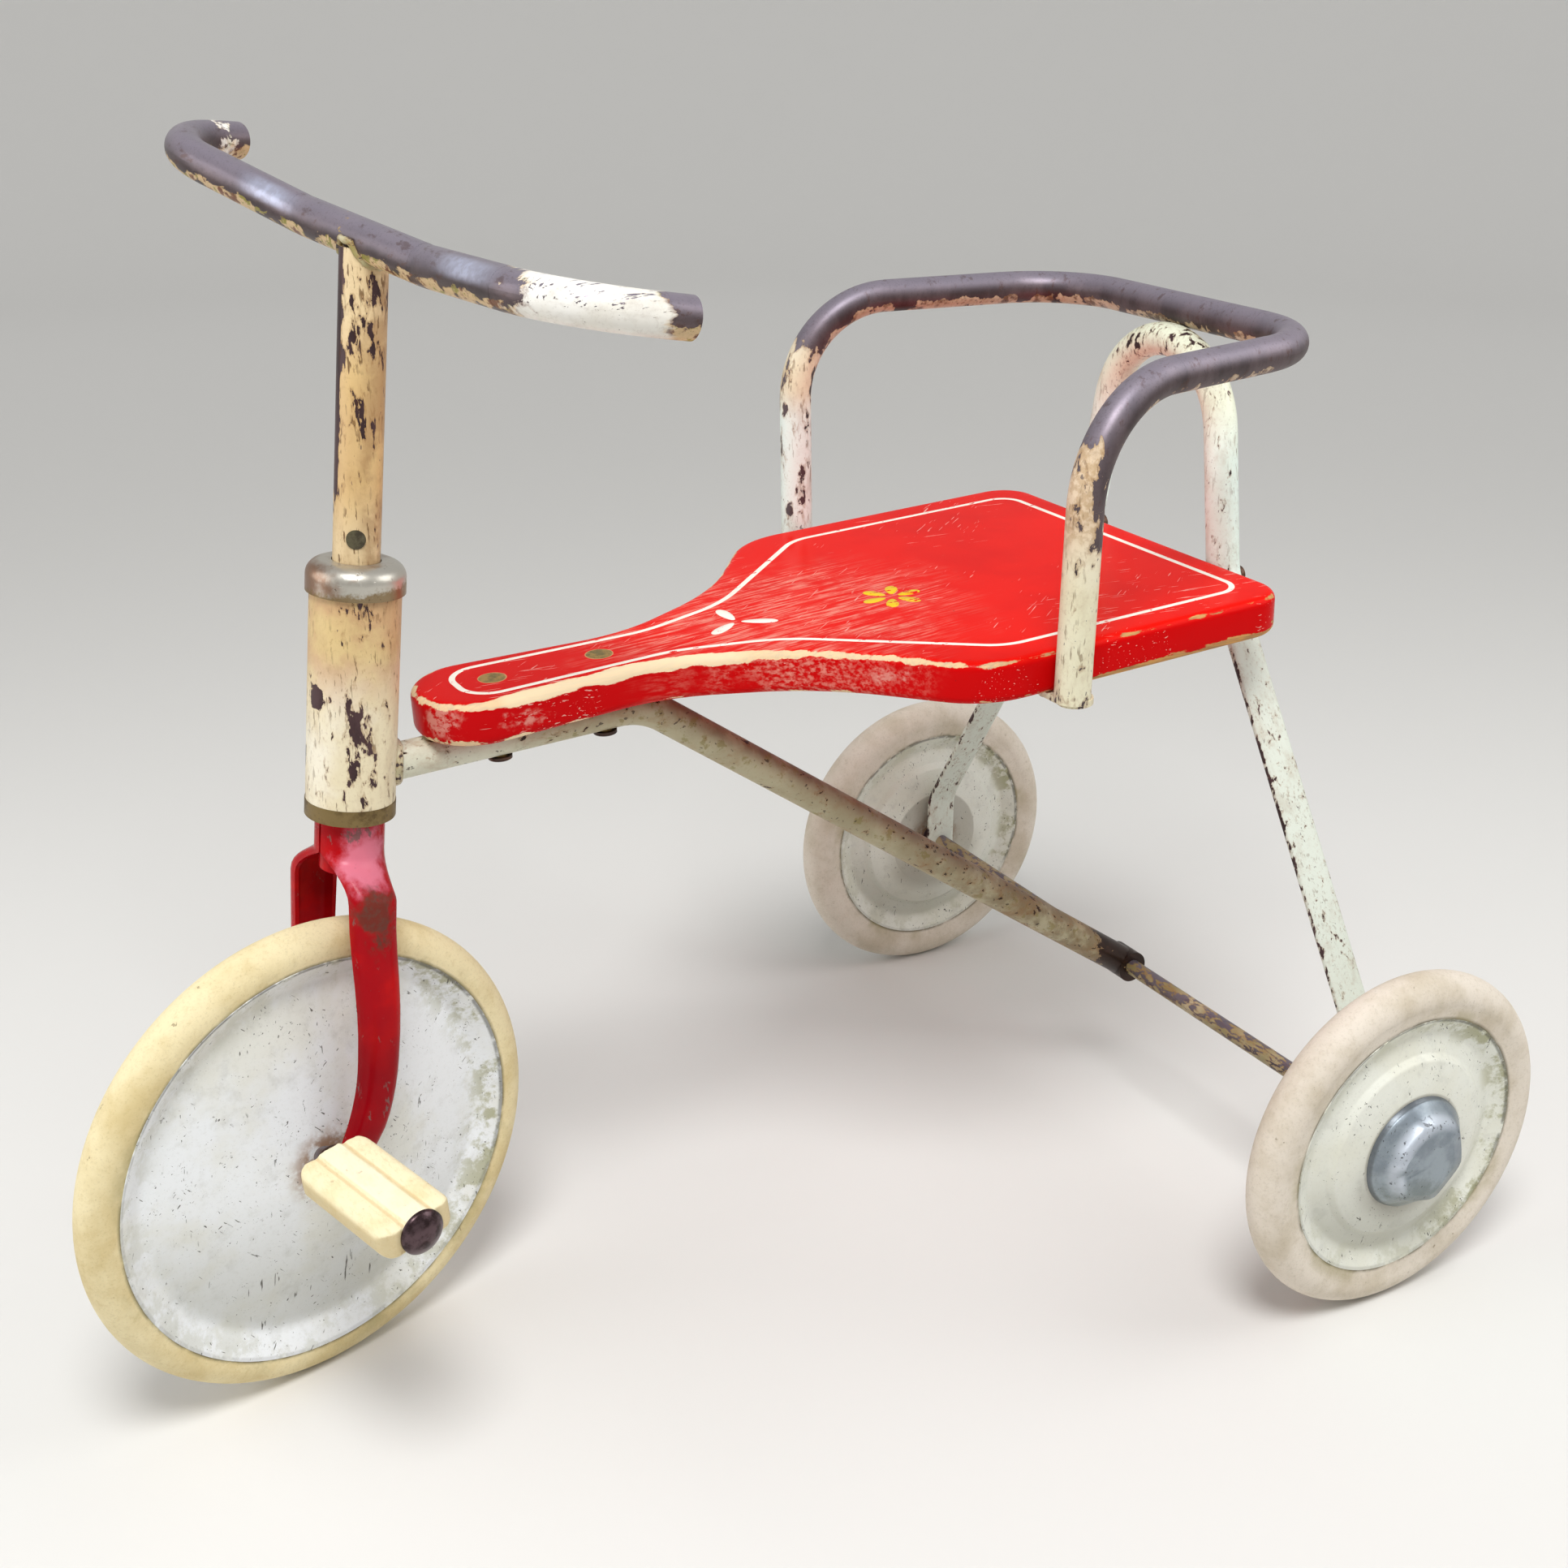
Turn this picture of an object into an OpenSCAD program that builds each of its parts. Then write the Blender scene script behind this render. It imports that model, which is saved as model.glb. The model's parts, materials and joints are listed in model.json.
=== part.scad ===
// Child's pedal tricycle in bent steel tube, with a shaped wooden seat
// Forward is +X, the rider's left is +Y, up is +Z; the ground is z = 0
// The origin lies on the ground under the middle of the whole toy

/* [Stance] */
// Distance between the front and rear axle lines
wheelbase = 427; // [405:1:460]
// Distance between the middle planes of the rear wheels
rear_track = 380; // [366:1:410]
// Outside diameter of a rear tyre
rear_wheel_d = 160; // [156:1:172]
// Outside diameter of the front tyre
front_wheel_d = 208; // [202:1:218]
// Backward lean of the steering axis
rake = 6.43; // [4:0.1:9]
// Distance of the front axle ahead of the steering axis
fork_offset = 14; // [9:0.5:18]
// Steering angle of the fork and handlebar, to the left
steer = 14.9; // [-40:0.1:40]
// Angle of the left crank above straight ahead
crank_turn = 49.3; // [0:0.1:359]

/* [Head] */
// Outside diameter of the head tube
head_d = 35; // [32:0.5:38]
// Wall of the head tube
head_wall = 2; // [1.5:0.1:3]
// Height of the head tube's lower end above the front axle
head_low = 155; // [148:0.5:158]
// Height of the head tube's upper end above the front axle
head_high = 246; // [242:0.5:255]
// Outside diameter of the steerer tube
steerer_d = 15; // [14:0.5:16]
// Wall of the steerer tube
steerer_wall = 2; // [1.5:0.1:2.5]
// Outside diameter of the cap on the head tube
cap_d = 38; // [37:0.5:42]
// Depth of the cap's skirt on the head tube
cap_skirt = 7; // [5:0.5:9]
// Rounding of the cap's shoulder
cap_round = 6; // [4:0.5:7]
// Height of the lower head ring
ring_h = 6.4; // [5:0.2:8]
// Outside diameter of the flange on the fork crown
crown_flange_d = 27; // [26:0.5:29]
// Height of the fork crown's collar
collar_h = 21; // [16:1:24]

/* [Fork] */
// Outside diameter of the neck that the two blades make
neck_d = 27.2; // [26.6:0.2:28.4]
// Height of the straight neck
neck_h = 13; // [10:0.5:16]
// Height over which the neck opens into two blades
crown_h = 16; // [14:0.5:22]
// Distance between the inner edges of the blades under the crown
crown_gap = 39; // [36:0.5:42]
// Distance between the inner edges of the blades at the axle
blade_gap = 46; // [42:0.5:48]
// Forward set of the blades under the crown
crown_lead = 2.5; // [0:0.1:4]
// Front to back width of a blade under the crown
blade_w = 20; // [18:0.5:22]
// Front to back width of a blade at the axle
tip_w = 15; // [14.5:0.25:16.5]
// Sideways depth of a blade's channel
blade_depth = 8.5; // [7:0.25:10]
// Sideways depth of the flattened blade tip
tip_depth = 4.5; // [4:0.25:5]
// Sheet thickness of the blades
blade_wall = 1.8; // [1.4:0.1:2]
// Height above the axle down to which the blades spread
blade_spread_h = 60; // [54:1:70]
// Height above the axle where a blade starts to curve forward
blade_bend_h = 50; // [40:1:54]
// Slit between the blades at the neck
neck_slit = 1.2; // [0.8:0.1:2]

/* [Handlebar] */
// Outside diameter of the handlebar tube
bar_d = 15; // [14:0.5:16]
// Wall of the bent tubes
tube_wall = 1.2; // [1:0.1:1.6]
// Height of the bar's middle above the front axle
bar_h = 368.7; // [345:0.5:390]
// Half of the bar's straight middle
bar_mid = 39.8; // [30:0.5:48]
// Sideways reach to the bar's corner
bar_reach = 132.2; // [120:0.5:150]
// Forward reach of the corner
bar_sweep = 14.6; // [6:0.5:22]
// Rise of the corner over the middle
bar_rise = 10.2; // [4:0.5:18]
// Backward length of the grip from the corner
grip_back = 45.5; // [42:0.5:70]
// Outward spread of the grip end from the corner
grip_spread = 10.3; // [4:0.5:16]
// Drop of the grip end below the corner
grip_drop = 2.3; // [0:0.5:8]
// Bend radius of the corners
bar_bend_r = 38; // [30:1:38]
// Bend radius beside the straight middle
bar_mid_bend_r = 28; // [20:1:40]
// Sideways lean of the bar in its weld, left end low
bar_lean = 5.7; // [0:0.1:8]
// Outside diameter of the stem tube
stem_d = 18; // [17.8:0.2:20]
// Height above the axle to which the steerer reaches in the stem
steerer_top = 285; // [275:1:300]
// Height of the stem's rivet above the cap
rivet_up = 9.6; // [7:0.2:16]
// Diameter of the stem's rivet
rivet_d = 7.2; // [5:0.2:8]
// Turn of the rivet from straight ahead
rivet_turn = 54; // [0:1:90]

/* [Crank and pedals] */
// Diameter of the cranked rod
rod_d = 9; // [8:0.2:9.6]
// Crank radius
crank_r = 35.8; // [30:0.2:40]
// Sideways run of each crank arm
crank_run = 9.7; // [8:0.1:14]
// Bend radius of the rod
rod_bend_r = 7; // [6.5:0.5:9]
// Length of a pedal block
pedal_l = 59.7; // [48:0.1:70]
// Front to back width of a pedal block
pedal_w = 32; // [28:0.5:40]
// Thickness of a pedal block's two wings
pedal_t = 12; // [11.5:0.5:13]
// Rounding of a wing's long edges
pedal_round = 4; // [2.5:0.5:5]
// Rounding of a pedal block's corners, seen from above
pedal_corner = 7; // [4:0.5:9]
// Thickness of the raised middle band
band_t = 13.8; // [13.6:0.2:16]
// Width of the raised middle band
band_w = 10; // [9.6:0.2:14]
// Depth of the grooves beside the band
groove_d = 0.5; // [0.3:0.1:1]
// Forward tilt of the pedals' treads
pedal_tilt = 13.3; // [-40:0.1:40]
// Diameter of the push cap on a pedal rod
push_cap_d = 18; // [15:0.5:20]
// Height of the push cap's dome
push_cap_h = 5; // [4:0.5:7]

/* [Front wheel] */
// Half width of the front hub at its flat face
front_hub_y = 13; // [12:0.25:13.25]
// Radius of the flat face round the front hub
front_face_r = 14; // [12:0.5:18]
// Half width where the front disc is narrowest
front_waist_y = 3; // [2.6:0.1:4]
// Distance from the front lip in to where the disc is narrowest
front_waist_in = 10.3; // [8.3:0.1:14]
// Depth of the front lip inside the tyre's outer edge
front_lip_in = 13.7; // [12.5:0.1:15]
// Half width of the front lip
front_lip_y = 9.6; // [9:0.1:10.5]
// Sheet thickness of the wheel discs
disc_wall = 1.2; // [0.8:0.1:1.4]
// Radius of the front tyre's round section
front_tyre_r = 9.7; // [9:0.1:10.2]
// Outside diameter of the front hub tube
front_hub_d = 17.8; // [15:0.2:19]

/* [Rear wheels] */
// Diameter of the rear axle
axle_d = 8; // [7:0.2:9]
// Half width of a rear wheel at its hub face
rear_hub_y = 12.4; // [11:0.2:12.6]
// Radius of the flat round the rear hub
rear_face_r = 27; // [24:0.5:28]
// Radius of the raised plateau's edge
plateau_r = 42; // [38:0.5:44]
// Half width at the plateau's edge
plateau_y = 9.5; // [8.5:0.1:10.5]
// Radius of the foot of the plateau's step
step_r = 44.5; // [43:0.5:47]
// Half width at the foot of the step
step_y = 6.5; // [5.5:0.1:7.5]
// Distance from the rear lip in to the groove beside it
recess_in = 8.5; // [7.5:0.1:10]
// Half width at that groove
recess_y = 4; // [3:0.1:5]
// Depth of the rear lip inside the tyre's outer edge
rear_lip_in = 18.8; // [18:0.1:20.5]
// Half width of the rear lip
rear_lip_y = 8.6; // [8:0.1:9]
// Half width of a rear tyre
rear_tyre_r = 9.7; // [9.2:0.1:10.4]
// Outside diameter of a rear hub tube
rear_hub_d = 17; // [15:0.5:18]
// Height of the hub cap
hubcap_h = 13.5; // [11:0.5:18]
// Radius of the hub cap's front across its corners
hubcap_front_r = 21.4; // [17:0.2:22]
// Turn of the hub cap's corners
hubcap_turn = 16.6; // [0:0.2:60]
// Number of sides of the hub cap's front
hubcap_sides = 6; // [5:1:8]

/* [Seat] */
// Height of the backbone's middle over the head tube's lower end
backbone_up = 10.15; // [9:0.05:14]
// Forward and downward tilt of the seat
seat_tilt = 2.405; // [1:0.1:4]
// Thickness of the seat board
seat_t = 18.2; // [15:0.2:21]
// Half width of the seat at the rear
seat_half = 104.5; // [98:0.5:110]
// Distance of the shoulder from the rear edge
shoulder_x = 158; // [152:0.5:164]
// Distance of the inner corner from the rear edge
flank_x = 203; // [198:0.5:208]
// Half width at the inner corner
flank_y = 47.7; // [42:0.5:52]
// Distance of the waist from the rear edge
waist_x = 260; // [254:0.5:266]
// Half width at the waist's corner
waist_y = 20.8; // [18:0.2:26]
// Gap between the seat's nose and the head tube
nose_gap = 7.5; // [6:0.5:12]
// Half width at the nose's corner
nose_y = 27.7; // [26:0.1:30]
// Rounding of the seat's edges
seat_edge_r = 4; // [2:0.25:5]
// Diameter of the seat bolts
seat_bolt_d = 6; // [5:0.2:7]
// Distance of the front seat bolt from the nose
bolt_inset = 33; // [24:1:34]
// Distance between the seat bolts
bolt_pitch = 47; // [30:1:48]

/* [Frame tubes] */
// Outside diameter of the bent frame tubes
tube_d = 15; // [14:0.5:16]
// Distance of the backbone's bend behind the foot of the steering axis
top_run = 145; // [144:1:156]
// Bend radius of the backbone
backbone_bend_r = 36; // [30:1:44]
// Outside diameter of the eye on the rear axle
eye_d = 16; // [14:0.5:18]
// Length of that eye
eye_l = 15; // [12:0.5:20]
// Drop of the hoop's top below the armrest's rail
hoop_drop = 12.2; // [8:0.2:14]
// Radius of the hoop's arch
hoop_r = 40.4; // [36:0.2:46]
// Outward splay of the hoop's upper legs
hoop_splay = 9.4; // [4:0.2:11]
// Backward lean of the hoop above the seat
hoop_lean = 1; // [0:0.1:2]
// Drop of the bend in the legs below the seat's top
hoop_bend_drop = 7.6; // [4:0.2:10]
// Height of the legs' lower bend over the rear axle
hoop_low = 28; // [24:1:36]
// Length of the legs below the rear axle
hoop_foot = 12; // [10:0.5:16]
// Width of the flattened legs
strut_w = 17; // [15:0.5:19]
// Thickness of the flattened legs
strut_t = 3.5; // [3:0.1:4.5]
// Height of the armrest's rear rail over the seat
arm_rise = 101.5; // [97:0.5:110]
// Distance of the armrest's legs ahead of the rear axle
arm_leg_x = 129.5; // [122:0.5:134]
// Outward lean of the armrest from the seat to its rail
arm_lean = 2.7; // [0:0.1:5]
// Half width of the armrest's rear corners
arm_back_y = 88.4; // [80:0.5:96]
// Bend radius over the armrest's legs
arm_front_r = 46; // [36:1:52]
// Bend radius of the armrest's rear corners
arm_back_r = 45; // [34:1:52]
// Length of the tab under the seat
tab_l = 24; // [18:0.5:30]
// Thickness of that tab
tab_t = 2.5; // [2:0.1:3.5]
// Width of that tab
tab_w = 14; // [12:0.5:15]

/* [Fits] */
// Radial clearance of the running bearings
run_gap = 0.08; // [0.03:0.01:0.1]
// Clearance between fixed pieces
seat_gap = 0.05; // [0.02:0.01:0.1]
// Gap between faces that turn past each other
turn_gap = 0.3; // [0.2:0.05:0.5]
// Clearance of holes for bolts, screws and rivets, on the diameter
hole_gap = 0.2; // [0.1:0.05:0.4]

/* [Hidden] */
$fn = 96;

// Colours
cream = [0.86, 0.82, 0.68];
bare_steel = [0.50, 0.46, 0.42];
bright_steel = [0.72, 0.72, 0.70];
red_paint = [0.74, 0.10, 0.09];
tyre_white = [0.88, 0.85, 0.76];
disc_white = [0.84, 0.86, 0.80];
brass = [0.72, 0.58, 0.30];
dark_steel = [0.30, 0.25, 0.22];
pedal_cream = [0.90, 0.86, 0.66];
cap_grey = [0.45, 0.52, 0.58];

// Wheel and axle heights
front_r = front_wheel_d / 2;
rear_r = rear_wheel_d / 2;
front_ring_r = front_r - front_tyre_r;
rear_ring_r = rear_r - rear_tyre_r;
front_lip_r = front_r - front_lip_in;
front_waist_r = front_lip_r - front_waist_in;
rear_lip_r = rear_r - rear_lip_in;
recess_r = rear_lip_r - recess_in;
half_track = rear_track / 2;

// The foot of the steering axis, level with the front axle
head_x = wheelbase - fork_offset * cos(rake);
head_z = front_r - fork_offset * sin(rake);

// The toy is moved along X so that its outer box is centred on the origin
axle_dir_x = -sin(steer) * cos(rake);
front_axle_x = head_x + fork_offset * cos(steer) * cos(rake);
front_reach = front_axle_x + front_tyre_r
    + front_ring_r * sqrt(1 - axle_dir_x * axle_dir_x);
centre_x = (front_reach - rear_r) / 2;

// Head and bearings, as heights along the steering axis
head_r = head_d / 2;
head_bore_r = head_r - head_wall;
steerer_r = steerer_d / 2;
cap_top = head_high + 5;
cap_plate = 2;
cap_low = cap_top - cap_skirt - 5;
upper_bush_top = head_high + 1.2;
upper_bush_h = 18;
stem_low = upper_bush_top + turn_gap;
ring_low = head_low - ring_h;
crown_top = ring_low - turn_gap;
flange_t = 1.3;
collar_top = crown_top - flange_t;
collar_r = neck_d / 2 - blade_wall - 0.1;
steerer_low = collar_top - collar_h + 1;
stem_bore_r = steerer_r + 2 * seat_gap;
rivet_h = cap_top + rivet_up;

// Fork
neck_top = collar_top - seat_gap;
blade_in = blade_gap / 2;
bush_d = 12;
bush_flange_d = 16;
bush_flange_t = 1.2;
bush_end = blade_in + tip_depth + 0.3;
tip_round = tip_w / 2 + 0.9;

// Crank
rod_r = rod_d / 2;
rod_turn = atan(crank_r / crank_run);
rod_tangent = rod_bend_r * tan(rod_turn / 2);
crank_in = bush_end + turn_gap / 2 + rod_tangent;
crank_out = crank_in + crank_run;
hub_end = front_hub_y + 0.6;
front_spacer_d = 15;
pedal_washer_d = 13;
washer_t = 1;
pedal_washer_y = crank_out + rod_tangent + 0.15;
pedal_in = pedal_washer_y + washer_t + 0.2;
pedal_out = pedal_in + pedal_l;
push_cap_y = pedal_out + turn_gap;
rod_end = push_cap_y + push_cap_h - 1.5;
groove_w = 2.4;

// Rear axle stack, from the middle plane outwards
axle_r = axle_d / 2;
strut_y = half_track - 18;
strut_out = strut_y + strut_t / 2;
rear_hub_half = rear_hub_y + 0.6;
rear_hub_in = half_track - rear_hub_half;
rear_hub_out = half_track + rear_hub_half;
spacer_d = 14;
axle_washer_d = 16;
push_nut_d = 14;
push_nut_t = 2.6;
push_nut_y = rear_hub_out + turn_gap + washer_t + seat_gap;
axle_end = push_nut_y + push_nut_t + 2;

// Seat, in its own tilted frame with z = 0 at the top face
hoop_x = 0;
tube_r = tube_d / 2;
seat_rear = hoop_x + tube_r + 0.5;
seat_bottom = -seat_t;
screw_d = 4;
screw_head_d = 8;
screw_head_t = 2.2;
screw_bite = 22;
tab_screw_bite = 13;
bolt_head_d = 11;
bolt_head_t = 1.2;
nut_t = 1.4;
nut_d = 10;
bolt_stub = 0.4;
backbone_z = seat_bottom - tube_r - seat_gap;

// The backbone meets the head tube near its lower end, and carries the seat
head_foot_x = head_x - head_low * sin(rake);
head_foot_z = head_z + head_low * cos(rake);
seat_h = head_foot_z + backbone_up + head_foot_x * tan(seat_tilt)
    - backbone_z / cos(seat_tilt);
bend_x = head_x - top_run;

// The seat ends a little behind the head tube
head_face_x = head_x - head_r / cos(rake)
    - tan(rake) * (seat_h - wheelbase * tan(seat_tilt) - head_z);
seat_l = (head_face_x - nose_gap - seat_rear) / cos(seat_tilt);
seat_bolt_front = seat_l - bolt_inset;
seat_bolt_rear = seat_bolt_front - bolt_pitch;

// Hoop and armrest heights
arm_h = seat_h + arm_rise;
hoop_top = arm_h - hoop_drop;
hoop_bend_z = seat_h - hoop_bend_drop;
hoop_low_z = rear_r + hoop_low;
hoop_end_z = rear_r - hoop_foot;
hoop_top_x = hoop_x - (hoop_top - hoop_bend_z) * tan(hoop_lean);

// Lap of straight runs over bends, and the bends' smaller diameter
lap = 0.4;
lap_step = 0.08;

// Armrest
arm_leg_y = seat_half + tube_r + 0.3;
arm_back_x = hoop_top_x - sqrt(pow(2 * tube_r + 0.1, 2) - pow(hoop_drop, 2));

// Functions

// Height of the seat's top face at a distance ahead of the rear axle
function seat_top_z(x) = seat_h - x * tan(seat_tilt);

// Height of a level of the tilted seat frame at a distance x
function seat_level(x, level) = seat_top_z(x) + level / cos(seat_tilt);

function unit(v) = v / norm(v);

function reversed(list) = [for (i = [len(list) - 1:-1:0]) list[i]];

// Points of the arc that rounds corner q between p and s
function corner(p, q, s, r, n) =
    let (
        a = unit(q - p),
        b = unit(s - q),
        turn = acos(max(-1, min(1, a * b))),
        side = b - (a * b) * a,
        m = side / norm(side),
        start = q - a * r * tan(turn / 2),
        c = start + m * r
    )
    [for (k = [0:n]) c - m * r * cos(turn * k / n) + a * r * sin(turn * k / n)];

// A line through points p with radii r at its inner points
function rounded(p, r, n) = [
    p[0],
    for (i = [1:len(p) - 2]) each corner(p[i - 1], p[i], p[i + 1], r[i - 1], n),
    p[len(p) - 1]
];

// A flat line moved sideways by d, to the left of its direction
function moved(line, d) = [
    for (i = [0:len(line) - 1])
        let (
            a = line[max(0, i - 1)],
            b = line[min(len(line) - 1, i + 1)],
            t = unit(b - a)
        )
        line[i] + d * [-t[1], t[0]]
];

// The closed strip between two sideways shifts of a line
function strip(line, d1, d2) = concat(moved(line, d1), reversed(moved(line, d2)));

// Side faces between rings of n points, closed all round
function skin(rings, n) = [
    for (j = [0:rings - 2])
        for (i = [0:n - 1])
            let (a = j * n + i, b = j * n + (i + 1) % n)
            each [[a, b, b + n], [a, b + n, a + n]]
];

// Frames

// The model's own frame, shifted so that its box is centred
module toy() {
    translate([-centre_x, 0, 0]) children();
}

// Along the steering axis, not turned; z is the height above the axle's foot
module head_frame() {
    toy() translate([head_x, 0, head_z]) rotate([0, -rake, 0]) children();
}

// Along the steering axis and turned with the fork
module steered() {
    head_frame() rotate([0, 0, steer]) children();
}

// At the front axle, turned with the crank; y runs along the axle
module crank_frame() {
    steered() translate([fork_offset, 0, 0]) rotate([0, -crank_turn, 0]) children();
}

// At a pedal's rod: side is 1 on the left and -1 on the right
module pedal_frame(side) {
    steered() translate([fork_offset, 0, 0])
        translate([side * crank_r * cos(crank_turn), 0, side * crank_r * sin(crank_turn)])
            rotate([0, pedal_tilt, 0])
                children();
}

// In the seat's tilted frame; x is the distance from the rear edge
module seat_frame() {
    toy() translate([0, 0, seat_h]) rotate([0, seat_tilt, 0])
        translate([seat_rear / cos(seat_tilt), 0, 0]) children();
}

// At a rear wheel's middle plane, its outside towards +y
module rear_frame(side) {
    toy() translate([0, side * half_track, rear_r])
        rotate([0, 0, side > 0 ? 0 : 180]) children();
}

// Repeated forms

module ring(od, bore, h) {
    linear_extrude(height = h) difference() {
        circle(d = od);
        circle(d = bore);
    }
}

// A ring along y between y1 and y2
module ring_y(od, bore, y1, y2) {
    translate([0, y2, 0]) rotate([90, 0, 0]) ring(od, bore, y2 - y1);
}

// A round bar along y between y1 and y2
module bar_y(d, y1, y2) {
    translate([0, y2, 0]) rotate([90, 0, 0]) cylinder(d = d, h = y2 - y1);
}

// The children along a straight run from a to b
module along(a, b) {
    d = b - a;
    translate(a) rotate([0, acos(d[2] / norm(d)), atan2(d[1], d[0])]) children();
}

// One bend of round stock at corner q, solid where the bore is 0
module bend(p, q, s, r, od, bore) {
    a = unit(q - p);
    b = unit(s - q);
    turn = acos(a * b);
    m = unit(b - (a * b) * a);
    c = q - a * r * tan(turn / 2) + m * r;
    z = cross(-m, a);
    multmatrix([
        [-m[0], a[0], z[0], c[0]],
        [-m[1], a[1], z[1], c[1]],
        [-m[2], a[2], z[2], c[2]],
        [0, 0, 0, 1]
    ])
        rotate_extrude(angle = turn) translate([r, 0]) difference() {
            circle(d = od - lap_step);
            if (bore > 0) circle(d = bore + lap_step);
        }
}

// Round stock bent through points p, with bend radii r at the inner points
// The straight runs lap a little over the ends of the bends
module bent(p, r, od, bore = 0) {
    n = len(p);
    t = [for (i = [0:n - 1])
        i == 0 || i == n - 1 ? 0
            : r[i - 1] * tan(acos(unit(p[i] - p[i - 1]) * unit(p[i + 1] - p[i])) / 2)];
    for (i = [0:n - 2]) {
        d = unit(p[i + 1] - p[i]);
        from = p[i] + d * (t[i] - (i > 0 ? lap : 0));
        to = p[i + 1] - d * (t[i + 1] - (i < n - 2 ? lap : 0));
        along(from, to) {
            if (bore > 0) ring(od, bore, norm(to - from));
            else cylinder(d = od, h = norm(to - from));
        }
    }
    for (i = [1:n - 2]) bend(p[i - 1], p[i], p[i + 1], r[i - 1], od, bore);
}

// Frame pieces

module head_tube() {
    color(cream) head_frame()
        translate([0, 0, head_low]) ring(head_d, 2 * head_bore_r, head_high - head_low);
}

// A pressed cap with a rounded shoulder, open for the stem
module head_cap() {
    color(bright_steel) head_frame() rotate_extrude() difference() {
        union() {
            translate([0, cap_low]) square([cap_d / 2, cap_top - cap_round - cap_low]);
            translate([0, cap_low]) square([cap_d / 2 - cap_round, cap_top - cap_low]);
            translate([cap_d / 2 - cap_round, cap_top - cap_round]) circle(r = cap_round);
        }
        translate([-1, cap_low - 1])
            square([head_r + seat_gap + 1, head_high + seat_gap - cap_low + 1]);
        translate([-1, cap_low]) square([15, cap_top - cap_plate - cap_low]);
        translate([-1, cap_low]) square([stem_d / 2 + 1.4, cap_top]);
    }
}

module head_ring() {
    color(brass) head_frame() {
        translate([0, 0, ring_low]) ring(head_d + 0.5, 27, ring_h - seat_gap);
        translate([0, 0, head_low - seat_gap - 0.01])
            ring(2 * (head_bore_r - seat_gap), 27, 6);
    }
}

module upper_bush() {
    color(dark_steel) head_frame() translate([0, 0, head_high - upper_bush_h]) {
        ring(2 * (head_bore_r - seat_gap), steerer_d + 2 * run_gap, upper_bush_h - 0.1);
        ring(24, steerer_d + 2 * run_gap, upper_bush_h + upper_bush_top - head_high);
    }
}

module lower_bush() {
    color(dark_steel) head_frame() translate([0, 0, ring_low + 0.2])
        ring(27 - 2 * seat_gap, steerer_d + 2 * run_gap, 14);
}

// The seat tube that runs from the head back and down to the rear axle
module backbone_tube() {
    nose_x = head_x - tan(rake) * (seat_level(head_x, backbone_z) - head_z);
    knee = [bend_x, 0, seat_level(bend_x, backbone_z)];
    axle = [0, 0, rear_r];
    path = [
        [nose_x, 0, seat_level(nose_x, backbone_z)],
        knee,
        axle + 4 * unit(knee - axle)
    ];
    color(cream) difference() {
        union() {
            toy() difference() {
                bent(path, [backbone_bend_r], tube_d, tube_d - 2 * tube_wall);
                translate([0, 0, rear_r]) bar_y(eye_d - 1, -eye_l, eye_l);
            }
            toy() translate([0, 0, rear_r])
                ring_y(eye_d, axle_d + 2 * seat_gap, -eye_l / 2, eye_l / 2);
        }
        head_frame() translate([0, 0, head_low])
            cylinder(r = head_r + seat_gap, h = head_high - head_low);
        for (x = [seat_bolt_front, seat_bolt_rear])
            seat_frame() translate([x, 0, backbone_z - tube_d])
                cylinder(d = seat_bolt_d + hole_gap, h = 2 * tube_d);
    }
}

module rear_axle() {
    color(dark_steel) toy() translate([0, 0, rear_r]) bar_y(axle_d, -axle_end, axle_end);
}

// Centre line of the hoop's left half, from its lower end to the top
function hoop_half() =
    let (
        c = hoop_top - hoop_r,
        foot_y = hoop_r * cos(hoop_splay)
            + (c + hoop_r * sin(hoop_splay) - hoop_bend_z) * tan(hoop_splay),
        p = [[strut_y, hoop_end_z], [strut_y, hoop_low_z], [foot_y, hoop_bend_z],
            [hoop_r * cos(hoop_splay), c + hoop_r * sin(hoop_splay)]],
        low = rounded(p, [24, 30], 5),
        straight = len(low) - 7
    )
    concat(
        [low[0]],
        [for (i = [1:6]) low[i]],
        [for (k = [1:7]) low[6] + (low[7] - low[6]) * (1 - pow(1 - k / 8, 2.2))],
        [for (i = [7:12]) low[i]],
        [for (k = [0:11]) let (a = hoop_splay + (90 - hoop_splay) * k / 12)
            [hoop_r * cos(a), c + hoop_r * sin(a)]]
    );

// Place of the hoop's middle line at a height; it leans back above the seat
function hoop_lean_x(z) = hoop_x - max(0, z - hoop_bend_z) * tan(hoop_lean);

// How far the tube is flattened at a height: 0 is round, 1 is a flat bar
function flatness(z) =
    let (u = max(0, min(1, (hoop_bend_z - 6 - z) / 24)))
    u * u * (3 - 2 * u);

// Outline of the hoop's section, a along X and b across the path
function hoop_section(f, n) =
    let (
        a = tube_r + (strut_w / 2 - tube_r) * f,
        b = tube_r + (strut_t / 2 - tube_r) * f,
        e = 2 / (2 + 2.5 * f)
    )
    [for (i = [0:n - 1]) let (t = 360 * (i + 0.5) / n, c = cos(t), s = sin(t))
        [a * sign(c) * pow(abs(c), e), b * sign(s) * pow(abs(s), e)]];

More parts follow.
